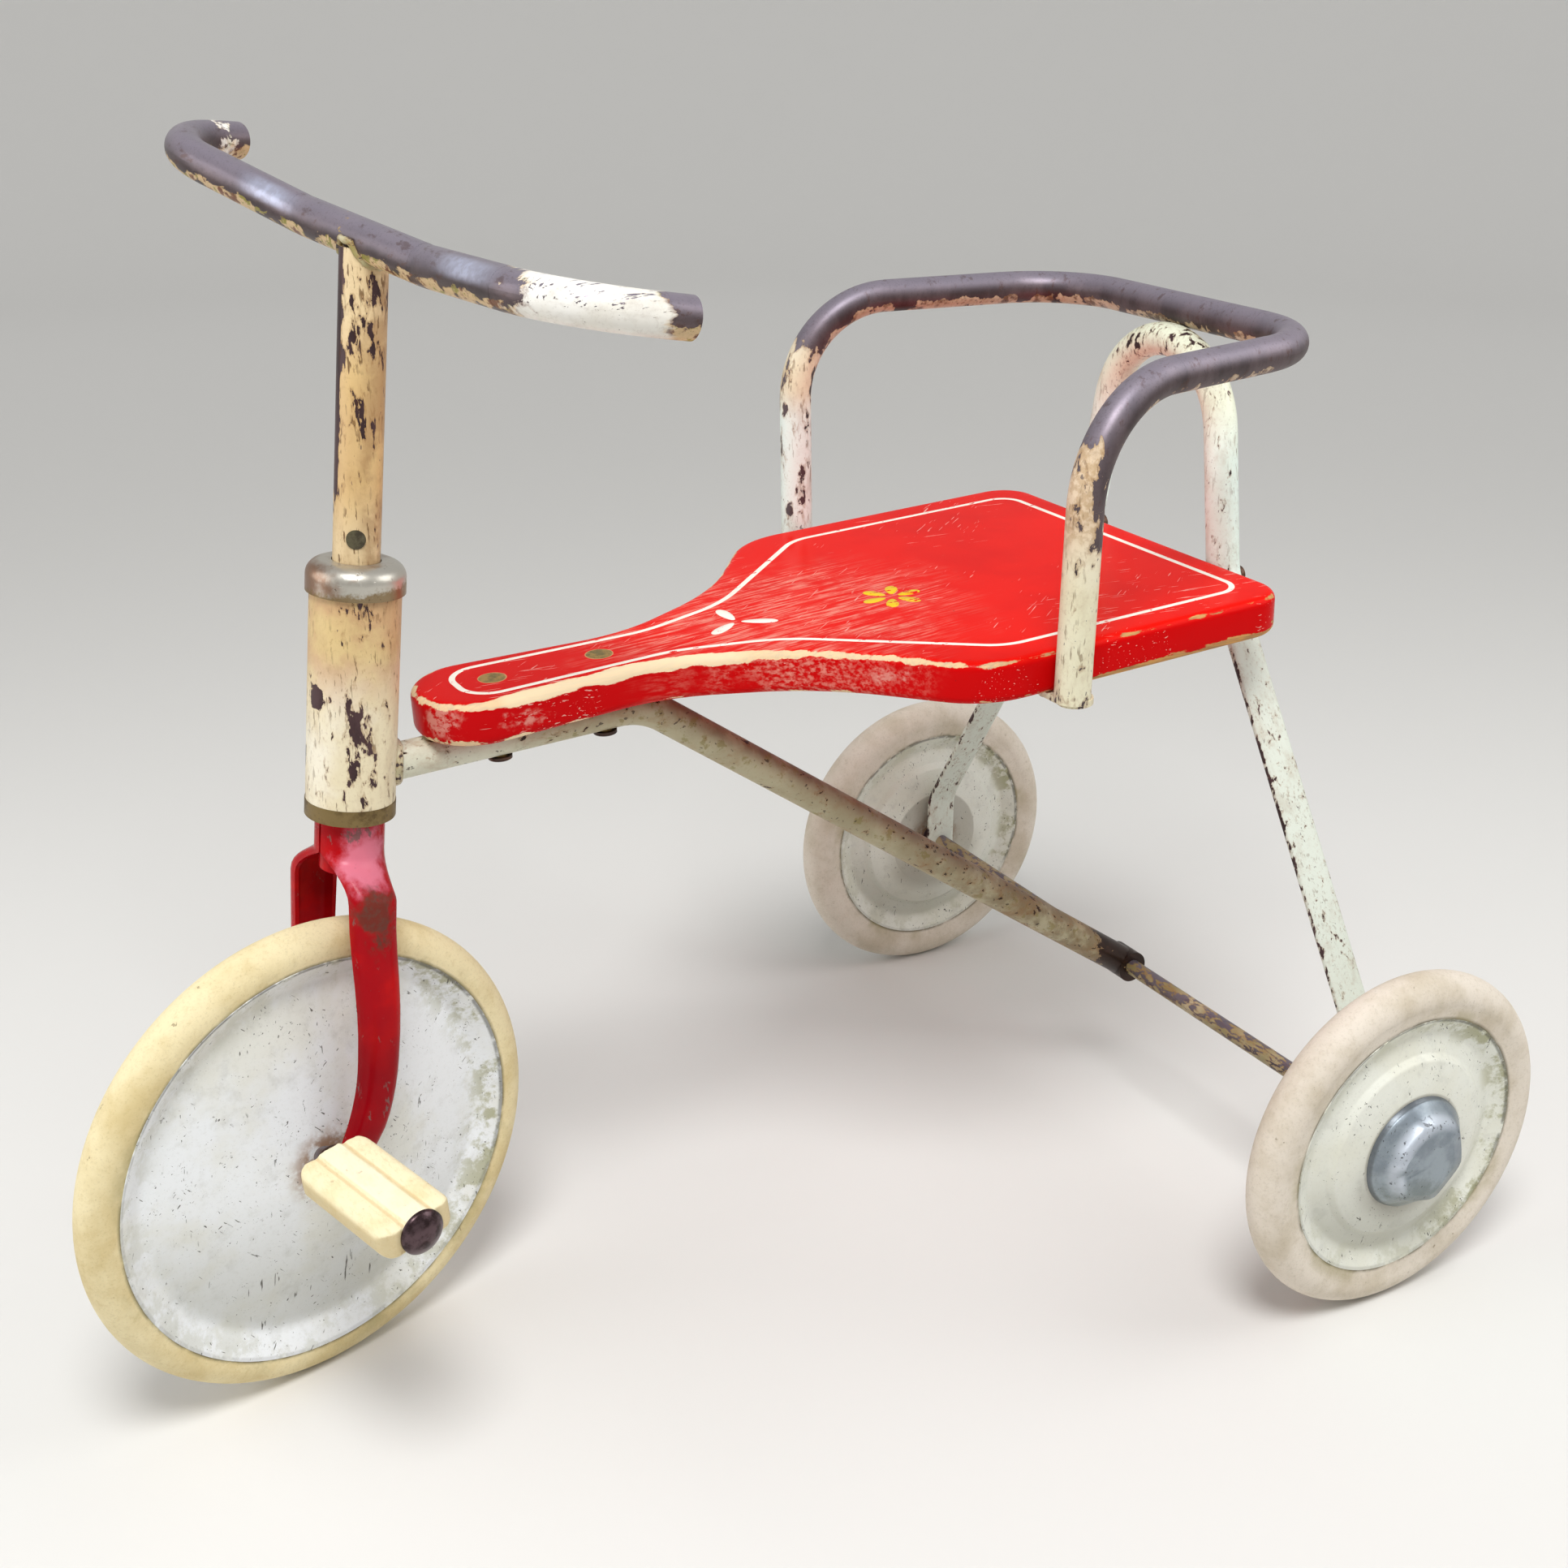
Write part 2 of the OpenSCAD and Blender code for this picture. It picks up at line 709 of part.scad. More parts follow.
// One bent tube behind the seat, its legs pressed flat down to the axle
module rear_hoop() {
    half = hoop_half();
    top = [[0, hoop_top]];
    line = concat(half, top, [for (p = reversed(half)) [-p[0], p[1]]]);
    n = 24;
    count = len(line);
    points = [for (j = [0:count - 1])
        let (
            t = unit(line[min(count - 1, j + 1)] - line[max(0, j - 1)]),
            s = hoop_section(flatness(line[j][1]), n)
        )
        for (q = s) [hoop_lean_x(line[j][1]) + q[0], line[j][0] - q[1] * t[1],
            line[j][1] + q[1] * t[0]]];
    color(disc_white) difference() {
        toy() polyhedron(points, concat(
            [[for (i = [0:n - 1]) n - 1 - i]],
            [for (q = skin(count, n)) q],
            [[for (i = [0:n - 1]) (count - 1) * n + i]]
        ));
        toy() translate([0, 0, rear_r])
            bar_y(axle_d + 2 * seat_gap, -strut_y - 10, strut_y + 10);
        for (side = [-1, 1]) hoop_screw_place(side)
            translate([0, 0, -40]) cylinder(d = screw_d + hole_gap, h = 60);
    }
}

// At a hoop screw's head, pointing forward into the seat's rear edge
module hoop_screw_place(side) {
    z = seat_level(seat_rear, seat_bottom / 2);
    c = hoop_top - hoop_r;
    y = hoop_r * cos(hoop_splay) + (c + hoop_r * sin(hoop_splay) - z) * tan(hoop_splay);
    toy() translate([hoop_x - tube_r, side * y, z]) rotate([0, 90, 0]) children();
}

module hoop_screws() {
    color(dark_steel) for (side = [-1, 1]) hoop_screw_place(side) {
        translate([0, 0, -seat_gap - screw_head_t]) cylinder(d = screw_head_d, h = screw_head_t);
        translate([0, 0, -seat_gap - 0.01]) cylinder(d = screw_d, h = tube_d + screw_bite);
    }
}

// The armrest's centre line from the left leg round the back to the right leg
function arm_path() =
    let (
        z0 = seat_level(arm_leg_x, seat_bottom) - tab_t / 2,
        foot = [arm_leg_x, arm_leg_y, z0],
        front = [arm_leg_x, arm_leg_y + arm_lean, arm_h - 1],
        back = [arm_back_x, arm_back_y, arm_h]
    )
    [foot, front, back, [back[0], -back[1], back[2]], [front[0], -front[1], front[2]],
        [foot[0], -foot[1], foot[2]]];

// At the middle of a leg's tab, on the underside of the seat
module tab_place(side) {
    seat_frame() translate([
        (arm_leg_x - seat_rear) / cos(seat_tilt) + seat_bottom * tan(seat_tilt),
        side * arm_leg_y, seat_bottom])
        children();
}

module armrest() {
    color(cream) difference() {
        union() {
            toy() bent(arm_path(), [arm_front_r, arm_back_r, arm_back_r, arm_front_r],
                tube_d, tube_d - 2 * tube_wall);
            for (side = [-1, 1]) tab_place(side) translate([0, 0, -seat_gap - tab_t]) {
                cylinder(d = tube_d - 0.2, h = tab_t);
                translate([-tab_w / 2, side > 0 ? -tab_l : 0, 0]) cube([tab_w, tab_l, tab_t]);
            }
        }
        for (side = [-1, 1]) tab_screw_place(side)
            translate([0, 0, -10]) cylinder(d = screw_d + hole_gap, h = 20);
    }
}

module tab_screw_place(side) {
    tab_place(side) translate([0, -side * (tab_l - 6), -seat_gap - tab_t]) children();
}

module armrest_screws() {
    color(dark_steel) for (side = [-1, 1]) tab_screw_place(side) {
        translate([0, 0, -seat_gap - screw_head_t]) cylinder(d = screw_head_d, h = screw_head_t);
        translate([0, 0, -seat_gap - 0.01]) cylinder(d = screw_d, h = tab_t + tab_screw_bite);
    }
}

// Outline of the seat, drawn in by d: broad at the back, waisted, round nose
function seat_outline(d) =
    let (
        p = [[0, 0], [0, seat_half], [shoulder_x, seat_half], [flank_x, flank_y],
            [waist_x, waist_y], [seat_l, nose_y], [seat_l, 0]],
        q = [for (i = [1:len(p) - 2])
            let (
                a = unit(p[i] - p[i - 1]),
                b = unit(p[i + 1] - p[i]),
                na = [a[1], -a[0]],
                nb = [b[1], -b[0]]
            )
            p[i] + d * (na + nb) / (1 + na * nb)],
        line = concat([[d, 0]], q, [[seat_l - d, 0]]),
        arcs = [
            corner(line[0], line[1], line[2], 18 - d, 7),
            corner(line[1], line[2], line[3], 40 - d, 6),
            corner(line[2], line[3], line[4], 120 + d, 5),
            corner(line[3], line[4], line[5], 75 + d, 5),
            corner(line[4], line[5], line[6], 25 - d, 9)
        ],
        half = [for (c = arcs) each c]
    )
    concat(half, [for (v = reversed(half)) [v[0], -v[1]]]);

// Board with rounded edges, drilled for its bolts and screws
module seat_board() {
    r = seat_edge_r;
    steps = 4;
    levels = concat(
        [for (k = [0:steps]) let (a = 90 * k / steps)
            [r * (1 - sin(a)), seat_bottom + r * (1 - cos(a))]],
        [for (k = [0:steps]) let (a = 90 * k / steps)
            [r * (1 - cos(a)), -r * (1 - sin(a))]]
    );
    outlines = [for (v = levels) seat_outline(v[0])];
    n = len(outlines[0]);
    points = [for (j = [0:len(levels) - 1]) for (v = outlines[j]) [v[0], v[1], levels[j][1]]];
    color(red_paint) difference() {
        seat_frame() polyhedron(points, concat(
            [[for (i = [0:n - 1]) i]],
            [for (q = skin(len(levels), n)) reversed(q)],
            [[for (i = [0:n - 1]) len(points) - 1 - i]]
        ));
        for (x = [seat_bolt_front, seat_bolt_rear]) seat_frame() translate([x, 0, 0]) {
            translate([0, 0, seat_bottom - 1])
                cylinder(d = seat_bolt_d + hole_gap, h = seat_t + 2);
            translate([0, 0, -bolt_head_t])
                cylinder(d = bolt_head_d + hole_gap, h = bolt_head_t + 1);
        }
        for (side = [-1, 1]) tab_screw_place(side)
            cylinder(d = screw_d + hole_gap, h = tab_t + tab_screw_bite + 1);
        for (side = [-1, 1]) hoop_screw_place(side)
            cylinder(d = screw_d + hole_gap, h = tube_d + screw_bite + 2);
    }
}

module seat_bolts() {
    color(brass) for (x = [seat_bolt_front, seat_bolt_rear]) seat_frame() translate([x, 0, 0]) {
        translate([0, 0, seat_gap - bolt_head_t]) cylinder(d = bolt_head_d, h = bolt_head_t);
        translate([0, 0, backbone_z - tube_r - nut_t - bolt_stub])
            cylinder(d = seat_bolt_d,
                h = nut_t + bolt_stub + tube_r - backbone_z - bolt_head_t + 0.1);
    }
}

// Flat round nuts under the backbone
module seat_nuts() {
    color(dark_steel) for (x = [seat_bolt_front, seat_bolt_rear])
        seat_frame() translate([x, 0, backbone_z - tube_r - seat_gap - nut_t])
            ring(nut_d, seat_bolt_d + 2 * seat_gap, nut_t);
}

// Spacers between the struts and the hubs, and thin washers outside the hubs
module axle_washers() {
    color(dark_steel) for (side = [-1, 1]) rear_frame(side) {
        ring_y(spacer_d, axle_d + 2 * seat_gap, strut_out + seat_gap - half_track,
            -rear_hub_half - turn_gap);
        ring_y(axle_washer_d, axle_d + 2 * seat_gap, rear_hub_half + turn_gap,
            rear_hub_half + turn_gap + washer_t);
    }
}

module axle_nuts() {
    color(dark_steel) for (side = [-1, 1]) rear_frame(side)
        ring_y(push_nut_d, axle_d + 2 * seat_gap, push_nut_y - half_track,
            push_nut_y + push_nut_t - half_track);
}

// Steering pieces

module steerer_tube() {
    color(dark_steel) steered() difference() {
        translate([0, 0, steerer_low])
            ring(steerer_d, steerer_d - 2 * steerer_wall, steerer_top - steerer_low);
        rivet_place() cylinder(d = rivet_d + hole_gap, h = 40, center = true);
    }
}

module crown_collar() {
    color(red_paint) steered() {
        translate([0, 0, collar_top - collar_h])
            ring(2 * collar_r, steerer_d + 2 * seat_gap, collar_h);
        translate([0, 0, collar_top])
            ring(crown_flange_d, steerer_d + 2 * seat_gap, flange_t);
    }
}

// Heights of a blade's sections, from the neck to the axle and past it
blade_open = neck_top - neck_h;
blade_full = blade_open - crown_h;
blade_heights = concat(
    [neck_top, blade_open + 5, blade_open],
    [for (k = [1:8]) blade_open - crown_h * k / 8],
    [for (k = [1:6]) blade_full - (blade_full - blade_bend_h) * k / 6],
    [for (k = [1:9]) blade_bend_h * (1 - k / 9)]
);

function ease(u) = let (v = max(0, min(1, u))) v * v * (3 - 2 * v);

// How far a blade has spread below the crown: 0 at the crown, 1 from blade_spread_h down
function spread(h) = ease((blade_full - h) / (blade_full - blade_spread_h));

// Forward place of a blade's middle line at a height
function blade_x(h) =
    crown_lead * ease((blade_open - h) / crown_h) * (1 - spread(h))
        + fork_offset * pow(max(0, blade_bend_h - h) / blade_bend_h, 2);

function blade_slope(h) = blade_x(h - 0.5) - blade_x(h + 0.5);

// A blade's channel section: half width, inner edge, depth and squareness
function blade_size(h) =
    let (
        u = ease((blade_open - h) / crown_h),
        v = ease((26 - h) / 20),
        w = max(0, 1 - h / blade_full)
    )
    [
        neck_d / 2 + (blade_w / 2 - neck_d / 2) * u + (tip_w - blade_w) / 2 * w,
        neck_slit / 2 + (crown_gap / 2 - neck_slit / 2) * u
            + (blade_in - crown_gap / 2) * spread(h),
        (neck_d - neck_slit) / 2 + (blade_depth - (neck_d - neck_slit) / 2) * u
            + (tip_depth - blade_depth) * v,
        2 + 0.6 * u
    ];

// Points of the channel section at x, h, tilted by its middle line's slope
function blade_ring(x, h, slope, s, n) =
    let (
        e = 2 / s[3],
        c = 1 / sqrt(1 + slope * slope),
        outer = [for (k = [0:n]) let (t = 180 * k / n)
            [s[0] * sign(cos(t)) * pow(abs(cos(t)), e), s[1] + s[2] * pow(abs(sin(t)), e)]],
        inner = [for (k = [n:-1:0]) let (t = 180 * k / n)
            [(s[0] - blade_wall) * sign(cos(t)) * pow(abs(cos(t)), e),
                s[1] + (s[2] - blade_wall) * pow(abs(sin(t)), e)]]
    )
    [for (q = concat(outer, inner)) [x + q[0] * c, q[1], h + q[0] * c * slope]];

// One pressed blade: half of the neck above, an open channel towards the wheel
module blade() {
    n = 20;
    m = 2 * (n + 1);
    end = blade_slope(0);
    along_x = end / sqrt(1 + end * end);
    along_h = 1 / sqrt(1 + end * end);
    rings = concat(
        [for (h = blade_heights) blade_ring(blade_x(h), h, blade_slope(h), blade_size(h), n)],
        [for (k = [1:5])
            let (
                d = tip_round * sin(13.5 * k),
                s = blade_size(0),
                w = min(s[0], sqrt(tip_round * tip_round - d * d))
            )
            blade_ring(fork_offset + d * along_x, -d * along_h, end, [w, s[1], s[2], s[3]], n)]
    );
    count = len(rings);
    last = (count - 1) * m;
    difference() {
        polyhedron([for (r = rings) each r], concat(
            [for (i = [0:n - 1]) each [[i, i + 1, m - 2 - i], [i, m - 2 - i, m - 1 - i]]],
            [for (q = skin(count, m)) reversed(q)],
            [for (i = [0:n - 1])
                each [[last + i, last + m - 2 - i, last + i + 1],
                    [last + i, last + m - 1 - i, last + m - 2 - i]]]
        ));
        translate([fork_offset, 0, 0]) bar_y(bush_d + 2 * seat_gap, 0, 40);
    }
}

module fork_blade_left() {
    color(red_paint) steered() blade();
}

module fork_blade_right() {
    color(red_paint) steered() mirror([0, 1, 0]) blade();
}

// Bushes in the blade tips, in which the rod turns, with flanges on the inside
module fork_bushes() {
    bore = rod_d + 2 * run_gap;
    color(dark_steel) for (side = [0, 1]) steered() translate([fork_offset, 0, 0])
        mirror([0, side, 0]) {
            ring_y(bush_flange_d, bore, blade_in - seat_gap - bush_flange_t, blade_in - seat_gap);
            ring_y(bush_d, bore, blade_in - seat_gap - 0.1, bush_end);
        }
}

// The bar's frame on the stem, with its sideways lean
module bar_frame() {
    steered() translate([0, 0, bar_h]) rotate([-bar_lean, 0, 0]) children();
}

// The bar's centre line, from the left end to the right
function bar_path() =
    let (
        end = [bar_sweep - grip_back, bar_reach + grip_spread, bar_rise - grip_drop],
        knee = [bar_sweep, bar_reach, bar_rise],
        mid = [0, bar_mid, 0]
    )
    [end, knee, mid, [mid[0], -mid[1], mid[2]], [knee[0], -knee[1], knee[2]],
        [end[0], -end[1], end[2]]];

module handlebar() {
    color(bare_steel) bar_frame()
        bent(bar_path(), [bar_bend_r, bar_mid_bend_r, bar_mid_bend_r, bar_bend_r],
            bar_d, bar_d - 2 * tube_wall);
}

// The stem tube, cut to the bar's curve at the top
module handlebar_stem() {
    color(cream) difference() {
        steered() translate([0, 0, stem_low])
            ring(stem_d, 2 * stem_bore_r, bar_h - 2.5 - stem_low);
        bar_frame() bar_y(bar_d + 4 * seat_gap, -stem_d, stem_d);
        steered() rivet_place() cylinder(d = rivet_d + hole_gap, h = 40, center = true);
    }
}

module rivet_place() {
    translate([0, 0, rivet_h]) rotate([0, 0, rivet_turn]) rotate([0, 90, 0]) children();
}

module stem_rivet() {
    color(bare_steel) steered() rivet_place()
        cylinder(d = rivet_d, h = stem_d + 0.4, center = true);
}

// Front wheel pieces

// One rod makes the axle, both cranks and both pedal pins
module crank_axle() {
    path = [
        [crank_r, rod_end, 0], [crank_r, crank_out, 0], [0, crank_in, 0],
        [0, -crank_in, 0], [-crank_r, -crank_out, 0], [-crank_r, -rod_end, 0]
    ];
    color(bare_steel) difference() {
        crank_frame()
            bent(path, [rod_bend_r, rod_bend_r, rod_bend_r, rod_bend_r], rod_d);
        crank_frame() cylinder(d = pin_d + hole_gap, h = 40, center = true);
    }
}

pin_d = 3.5;

// Half section of the front disc's outer face: radius, distance from the middle
front_line = rounded([
    [front_hub_d / 2 + seat_gap, front_hub_y],
    [front_face_r, front_hub_y],
    [front_face_r + 16, front_hub_y - 2.4],
    [front_waist_r, front_waist_y],
    [front_lip_r, front_lip_y]
], [4, 30, 5], 5);

// The same for a rear disc, with its raised plateau
rear_line = rounded([
    [rear_hub_d / 2 + seat_gap, rear_hub_y],
    [rear_face_r, rear_hub_y],
    [plateau_r, plateau_y],
    [step_r, step_y],
    [recess_r, recess_y],
    [rear_lip_r, rear_lip_y]
], [20, 2, 2, 3], 4);

// A pressed wheel disc: a strip of sheet turned about the axle
module disc(line) {
    rotate([-90, 0, 0]) rotate_extrude() polygon(strip(line, 0, -disc_wall));
}

module front_disc_left() {
    color(disc_white) crank_frame() disc(front_line);
}

module front_disc_right() {
    color(disc_white) crank_frame() mirror([0, 1, 0]) disc(front_line);
}

module front_hub() {
    color(dark_steel) crank_frame() difference() {
        ring_y(front_hub_d, rod_d + 2 * seat_gap, -hub_end, hub_end);
        cylinder(d = pin_d + hole_gap, h = 40, center = true);
    }
}

module hub_pin() {
    color(dark_steel) crank_frame()
        cylinder(d = pin_d, h = front_hub_d - 0.6, center = true);
}

// A solid tyre with a foot held between the two discs
module tyre(ring_r, half_w, line, lip_r, lip_y, root_r) {
    rotate([-90, 0, 0]) rotate_extrude() difference() {
        union() {
            translate([ring_r, 0]) circle(r = half_w);
            polygon([
                [root_r, -3.6], [lip_r - 0.3, -lip_y + 0.4], [ring_r, -half_w],
                [ring_r, half_w], [lip_r - 0.3, lip_y - 0.4], [root_r, 3.6]
            ]);
        }
        polygon(strip(line, 0.5, -disc_wall - 2 * seat_gap));
        mirror([0, 1]) polygon(strip(line, 0.5, -disc_wall - 2 * seat_gap));
    }
}

module front_tyre() {
    color(tyre_white) crank_frame()
        tyre(front_ring_r, front_tyre_r, front_line, front_lip_r, front_lip_y,
            front_waist_r + 4);
}

// Spacers on the rod between the front hub and the fork
module front_washers() {
    color(bright_steel) for (side = [0, 1]) crank_frame() mirror([0, side, 0])
        ring_y(front_spacer_d, rod_d + 2 * seat_gap, hub_end + 0.1,
            blade_in - seat_gap - bush_flange_t - turn_gap);
}

module pedal_washers() {
    color(dark_steel) for (side = [-1, 1]) crank_frame()
        translate([side * crank_r, 0, 0]) mirror([0, side > 0 ? 0 : 1, 0])
            ring_y(pedal_washer_d, rod_d + 2 * seat_gap, pedal_washer_y,
                pedal_washer_y + washer_t);
}

// A domed push cap over the end of a pedal pin
module push_cap(side) {
    brim = 1.2;
    crown = push_cap_h - brim;
    dome_r = (pow(push_cap_d / 2, 2) + crown * crown) / (2 * crown);
    sweep = asin(push_cap_d / 2 / dome_r);
    crank_frame() translate([side * crank_r, 0, 0]) mirror([0, side > 0 ? 0 : 1, 0])
        translate([0, push_cap_y, 0]) rotate([-90, 0, 0]) difference() {
            rotate_extrude() polygon([
                [0, 0], [push_cap_d / 2, 0],
                for (k = [0:11]) let (a = sweep * (1 - k / 12))
                    [dome_r * sin(a), brim + crown - dome_r * (1 - cos(a))],
                [0, brim + crown - dome_r * (1 - cos(sweep / 12))]
            ]);
            translate([0, 0, -1])
                cylinder(d = rod_d + 2 * seat_gap, h = rod_end - push_cap_y + 1 + seat_gap);
        }
}

module pedal_cap_left() {
    color(dark_steel) push_cap(1);
}

module pedal_cap_right() {
    color(dark_steel) push_cap(-1);
}

module rounded_plate(w, l, r) {
    square([w - 2 * r, l], center = true);
    square([w, l - 2 * r], center = true);
    for (x = [-1, 1]) for (y = [-1, 1])
        translate([x * (w / 2 - r), y * (l / 2 - r)]) circle(r = r);
}

// Section of a pedal block: two wings beside a raised band, with grooves between
module pedal_section() {
    difference() {
        union() {
            rounded_plate(pedal_w, pedal_t, pedal_round);
            square([band_w, band_t], center = true);
        }
        for (x = [-1, 1]) for (z = [-1, 1])
            translate([x * (band_w / 2 + groove_w / 2), z * pedal_t / 2])
                square([groove_w, 2 * groove_d], center = true);
        circle(d = rod_d + 2 * run_gap);
    }
}

module pedal_block(side) {
    pedal_frame(side) translate([0, side * (pedal_in + pedal_out) / 2, 0]) intersection() {
        translate([0, pedal_l / 2, 0]) rotate([90, 0, 0])
            linear_extrude(height = pedal_l) pedal_section();
        translate([0, 0, -band_t]) linear_extrude(height = 2 * band_t)
            rounded_plate(pedal_w + 0.2, pedal_l + 0.2, pedal_corner);
    }
}

module left_pedal_block() {
    color(pedal_cream) pedal_block(1);
}

module right_pedal_block() {
    color(pedal_cream) pedal_block(-1);
}

// Rear wheel pieces

module rear_hub() {
    ring_y(rear_hub_d, axle_d + 2 * run_gap, -rear_hub_half, rear_hub_half);
}

module rear_tyre() {
    tyre(rear_ring_r, rear_tyre_r, rear_line, rear_lip_r, rear_lip_y, recess_r + 1.3);
}

// Radius of the hub cap at an angle and at a share u of its height
function hubcap_r(a, u) =
    let (
        step = 360 / hubcap_sides,
        off = abs(((a + 360 - hubcap_turn) % step) - step / 2),
        flat_r = hubcap_front_r * cos(step / 2) / cos(off),
        w = ease(u * 1.25)
    )
    (rear_face_r - 0.3) * (1 - w) + flat_r * w - 0.9 * u * u * u * u;

// A pressed hub cap, round at its foot and many sided at its front
module hubcap() {
    n = 48;
    m = 7;
    wall = 1;
    low = rear_hub_y + seat_gap;
    outer = [for (k = [0:m]) let (u = k / m)
        for (i = [0:n - 1]) let (a = 360 * i / n, r = hubcap_r(a, u))
            [r * cos(a), low + hubcap_h * u, r * sin(a)]];
    inner = [for (k = [m:-1:0]) let (u = k / m)
        for (i = [0:n - 1]) let (a = 360 * i / n, r = hubcap_r(a, u) - wall)
            [r * cos(a), low + (hubcap_h - wall) * u, r * sin(a)]];
    half = (m + 1) * n;
    shell = concat(outer, inner);
    polyhedron(shell, concat(
        [for (q = skin(m + 1, n)) q],
        [for (q = skin(m + 1, n)) [q[0] + half, q[1] + half, q[2] + half]],
        [[for (i = [0:n - 1]) m * n + i]],
        [[for (i = [0:n - 1]) half + n - 1 - i]],
        [for (i = [0:n - 1])
            let (a = i, b = (i + 1) % n, c = half + m * n)
            each [[a, c + a, c + b], [a, c + b, b]]]
    ));
}

module left_outer_disc() {
    color(disc_white) rear_frame(1) disc(rear_line);
}

module left_inner_disc() {
    color(disc_white) rear_frame(1) mirror([0, 1, 0]) disc(rear_line);
}

module left_hub() {
    color(dark_steel) rear_frame(1) rear_hub();
}

module left_tyre() {
    color(tyre_white) rear_frame(1) rear_tyre();
}

module left_hubcap() {
    color(cap_grey) rear_frame(1) hubcap();
}

module right_outer_disc() {
    color(disc_white) rear_frame(-1) disc(rear_line);
}

module right_inner_disc() {
    color(disc_white) rear_frame(-1) mirror([0, 1, 0]) disc(rear_line);
}

module right_hub() {
    color(dark_steel) rear_frame(-1) rear_hub();
}

module right_tyre() {
    color(tyre_white) rear_frame(-1) rear_tyre();
}

module right_hubcap() {
    color(cap_grey) rear_frame(-1) hubcap();
}

head_tube();
head_cap();
head_ring();
upper_bush();
lower_bush();
backbone_tube();
rear_axle();
rear_hoop();
armrest();
seat_board();
seat_bolts();
seat_nuts();
armrest_screws();
hoop_screws();
axle_washers();
axle_nuts();
steerer_tube();
crown_collar();
fork_blade_left();
fork_blade_right();
fork_bushes();
handlebar_stem();
handlebar();
stem_rivet();
crank_axle();
front_disc_left();
front_disc_right();
front_hub();
hub_pin();
front_tyre();
front_washers();
pedal_washers();
pedal_cap_left();
pedal_cap_right();
left_pedal_block();
right_pedal_block();
left_outer_disc();
left_inner_disc();
left_hub();
left_tyre();
left_hubcap();
right_outer_disc();
right_inner_disc();
right_hub();
right_tyre();
right_hubcap();
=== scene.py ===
"""Looks of a child's old pedal tricycle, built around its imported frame.

Worn enamel on bent tube, a red wooden seat with a white stripe, disc wheels with pale
tyres, pale pedal blocks, welds, and the studio stage with the photograph's camera.
Places are millimetres in the tricycle's own frame: X ahead of the rear axle, Y to the
rider's left, Z above the ground. A limit along an axis is in metres.
"""
import contextlib
import functools
import json
import math

import bmesh
import bpy
from bpy.props import FloatProperty, FloatVectorProperty, IntProperty, PointerProperty
from mathutils import Matrix, Vector


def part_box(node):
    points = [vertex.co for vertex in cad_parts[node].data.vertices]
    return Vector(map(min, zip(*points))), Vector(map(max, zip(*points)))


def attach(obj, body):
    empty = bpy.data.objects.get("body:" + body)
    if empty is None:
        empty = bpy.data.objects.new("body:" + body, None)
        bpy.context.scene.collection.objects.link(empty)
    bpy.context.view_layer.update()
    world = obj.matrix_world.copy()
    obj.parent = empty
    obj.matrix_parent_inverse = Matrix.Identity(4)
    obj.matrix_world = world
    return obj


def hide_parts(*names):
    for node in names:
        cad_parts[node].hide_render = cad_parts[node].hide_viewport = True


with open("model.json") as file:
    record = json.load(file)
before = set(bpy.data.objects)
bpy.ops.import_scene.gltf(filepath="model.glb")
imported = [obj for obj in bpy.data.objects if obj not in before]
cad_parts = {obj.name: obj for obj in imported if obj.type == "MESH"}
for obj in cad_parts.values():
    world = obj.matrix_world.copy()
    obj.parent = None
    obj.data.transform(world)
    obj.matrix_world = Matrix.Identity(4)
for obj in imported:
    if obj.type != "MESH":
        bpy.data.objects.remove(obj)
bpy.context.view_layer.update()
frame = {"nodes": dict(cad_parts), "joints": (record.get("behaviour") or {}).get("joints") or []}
NODES = frame["nodes"]
JOINTS = {joint["name"]: joint for joint in frame["joints"]}
MM = 0.001
MERGE_REACH = 0.004 * MM
SIDES = ("left", "right")
X, Y, Z = range(3)

bl_info = {
    "name": "Pedal tricycle looks",
    "version": (1, 0, 0),
    "blender": (4, 5, 0),
    "location": "3D View > Sidebar > Tricycle",
    "description": "Paint, wood, rubber and stage for a child's pedal tricycle",
    "category": "Object",
}


def middle(node):
    low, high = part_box(node)
    return (low + high) / 2


REAR_X = middle("rear_axle").x


def ahead(x):
    """A distance ahead of the rear axle in millimetres, as a model X in metres."""
    return REAR_X + x * MM


def spot_at(x, y, z):
    """A point of the tricycle's own frame, in millimetres, as a place in metres."""
    return Vector((ahead(x), y * MM, z * MM))


def joint_line(name):
    """A joint's place and axis."""
    return Vector(JOINTS[name]["pos_m"]), Vector(JOINTS[name]["axis"])


def steered_matrix():
    """Along the steering axis at the front axle's height, X turned with the fork."""
    foot, up = joint_line("steering_turn")
    up = up.normalized()
    front = (joint_line("front_wheel_spin")[0] - foot).normalized()
    side = up.cross(front)
    return Matrix.Translation(foot) @ Matrix((front, side, up)).transposed().to_4x4()


STEERED = steered_matrix()


def steered_at(x, y, z):
    return STEERED @ Vector((x * MM, y * MM, z * MM))


def steered_z(height):
    """Model Z of a height along the steering axis."""
    return steered_at(0, 0, height).z


def shade(red, green, blue):
    """Linear colour from display values of 0 to 255."""
    return tuple((c / 255 / 12.92) if c <= 10 else ((c / 255 + 0.055) / 1.055) ** 2.4
                 for c in (red, green, blue))


def darker(tint, share):
    return [share * c for c in tint]


def colour(name, text, *rgb):
    return FloatVectorProperty(name=name, description=text, subtype="COLOR", size=3,
                               min=0.0, max=1.0, default=shade(*rgb))


def length(name, text, value):
    return FloatProperty(name=name, description=text, default=value * MM, min=0.0,
                         max=1.0, unit="LENGTH", subtype="DISTANCE")


def amount(name, text, value, most=100.0, **more):
    return FloatProperty(name=name, description=text, default=value, min=0, max=most, **more)


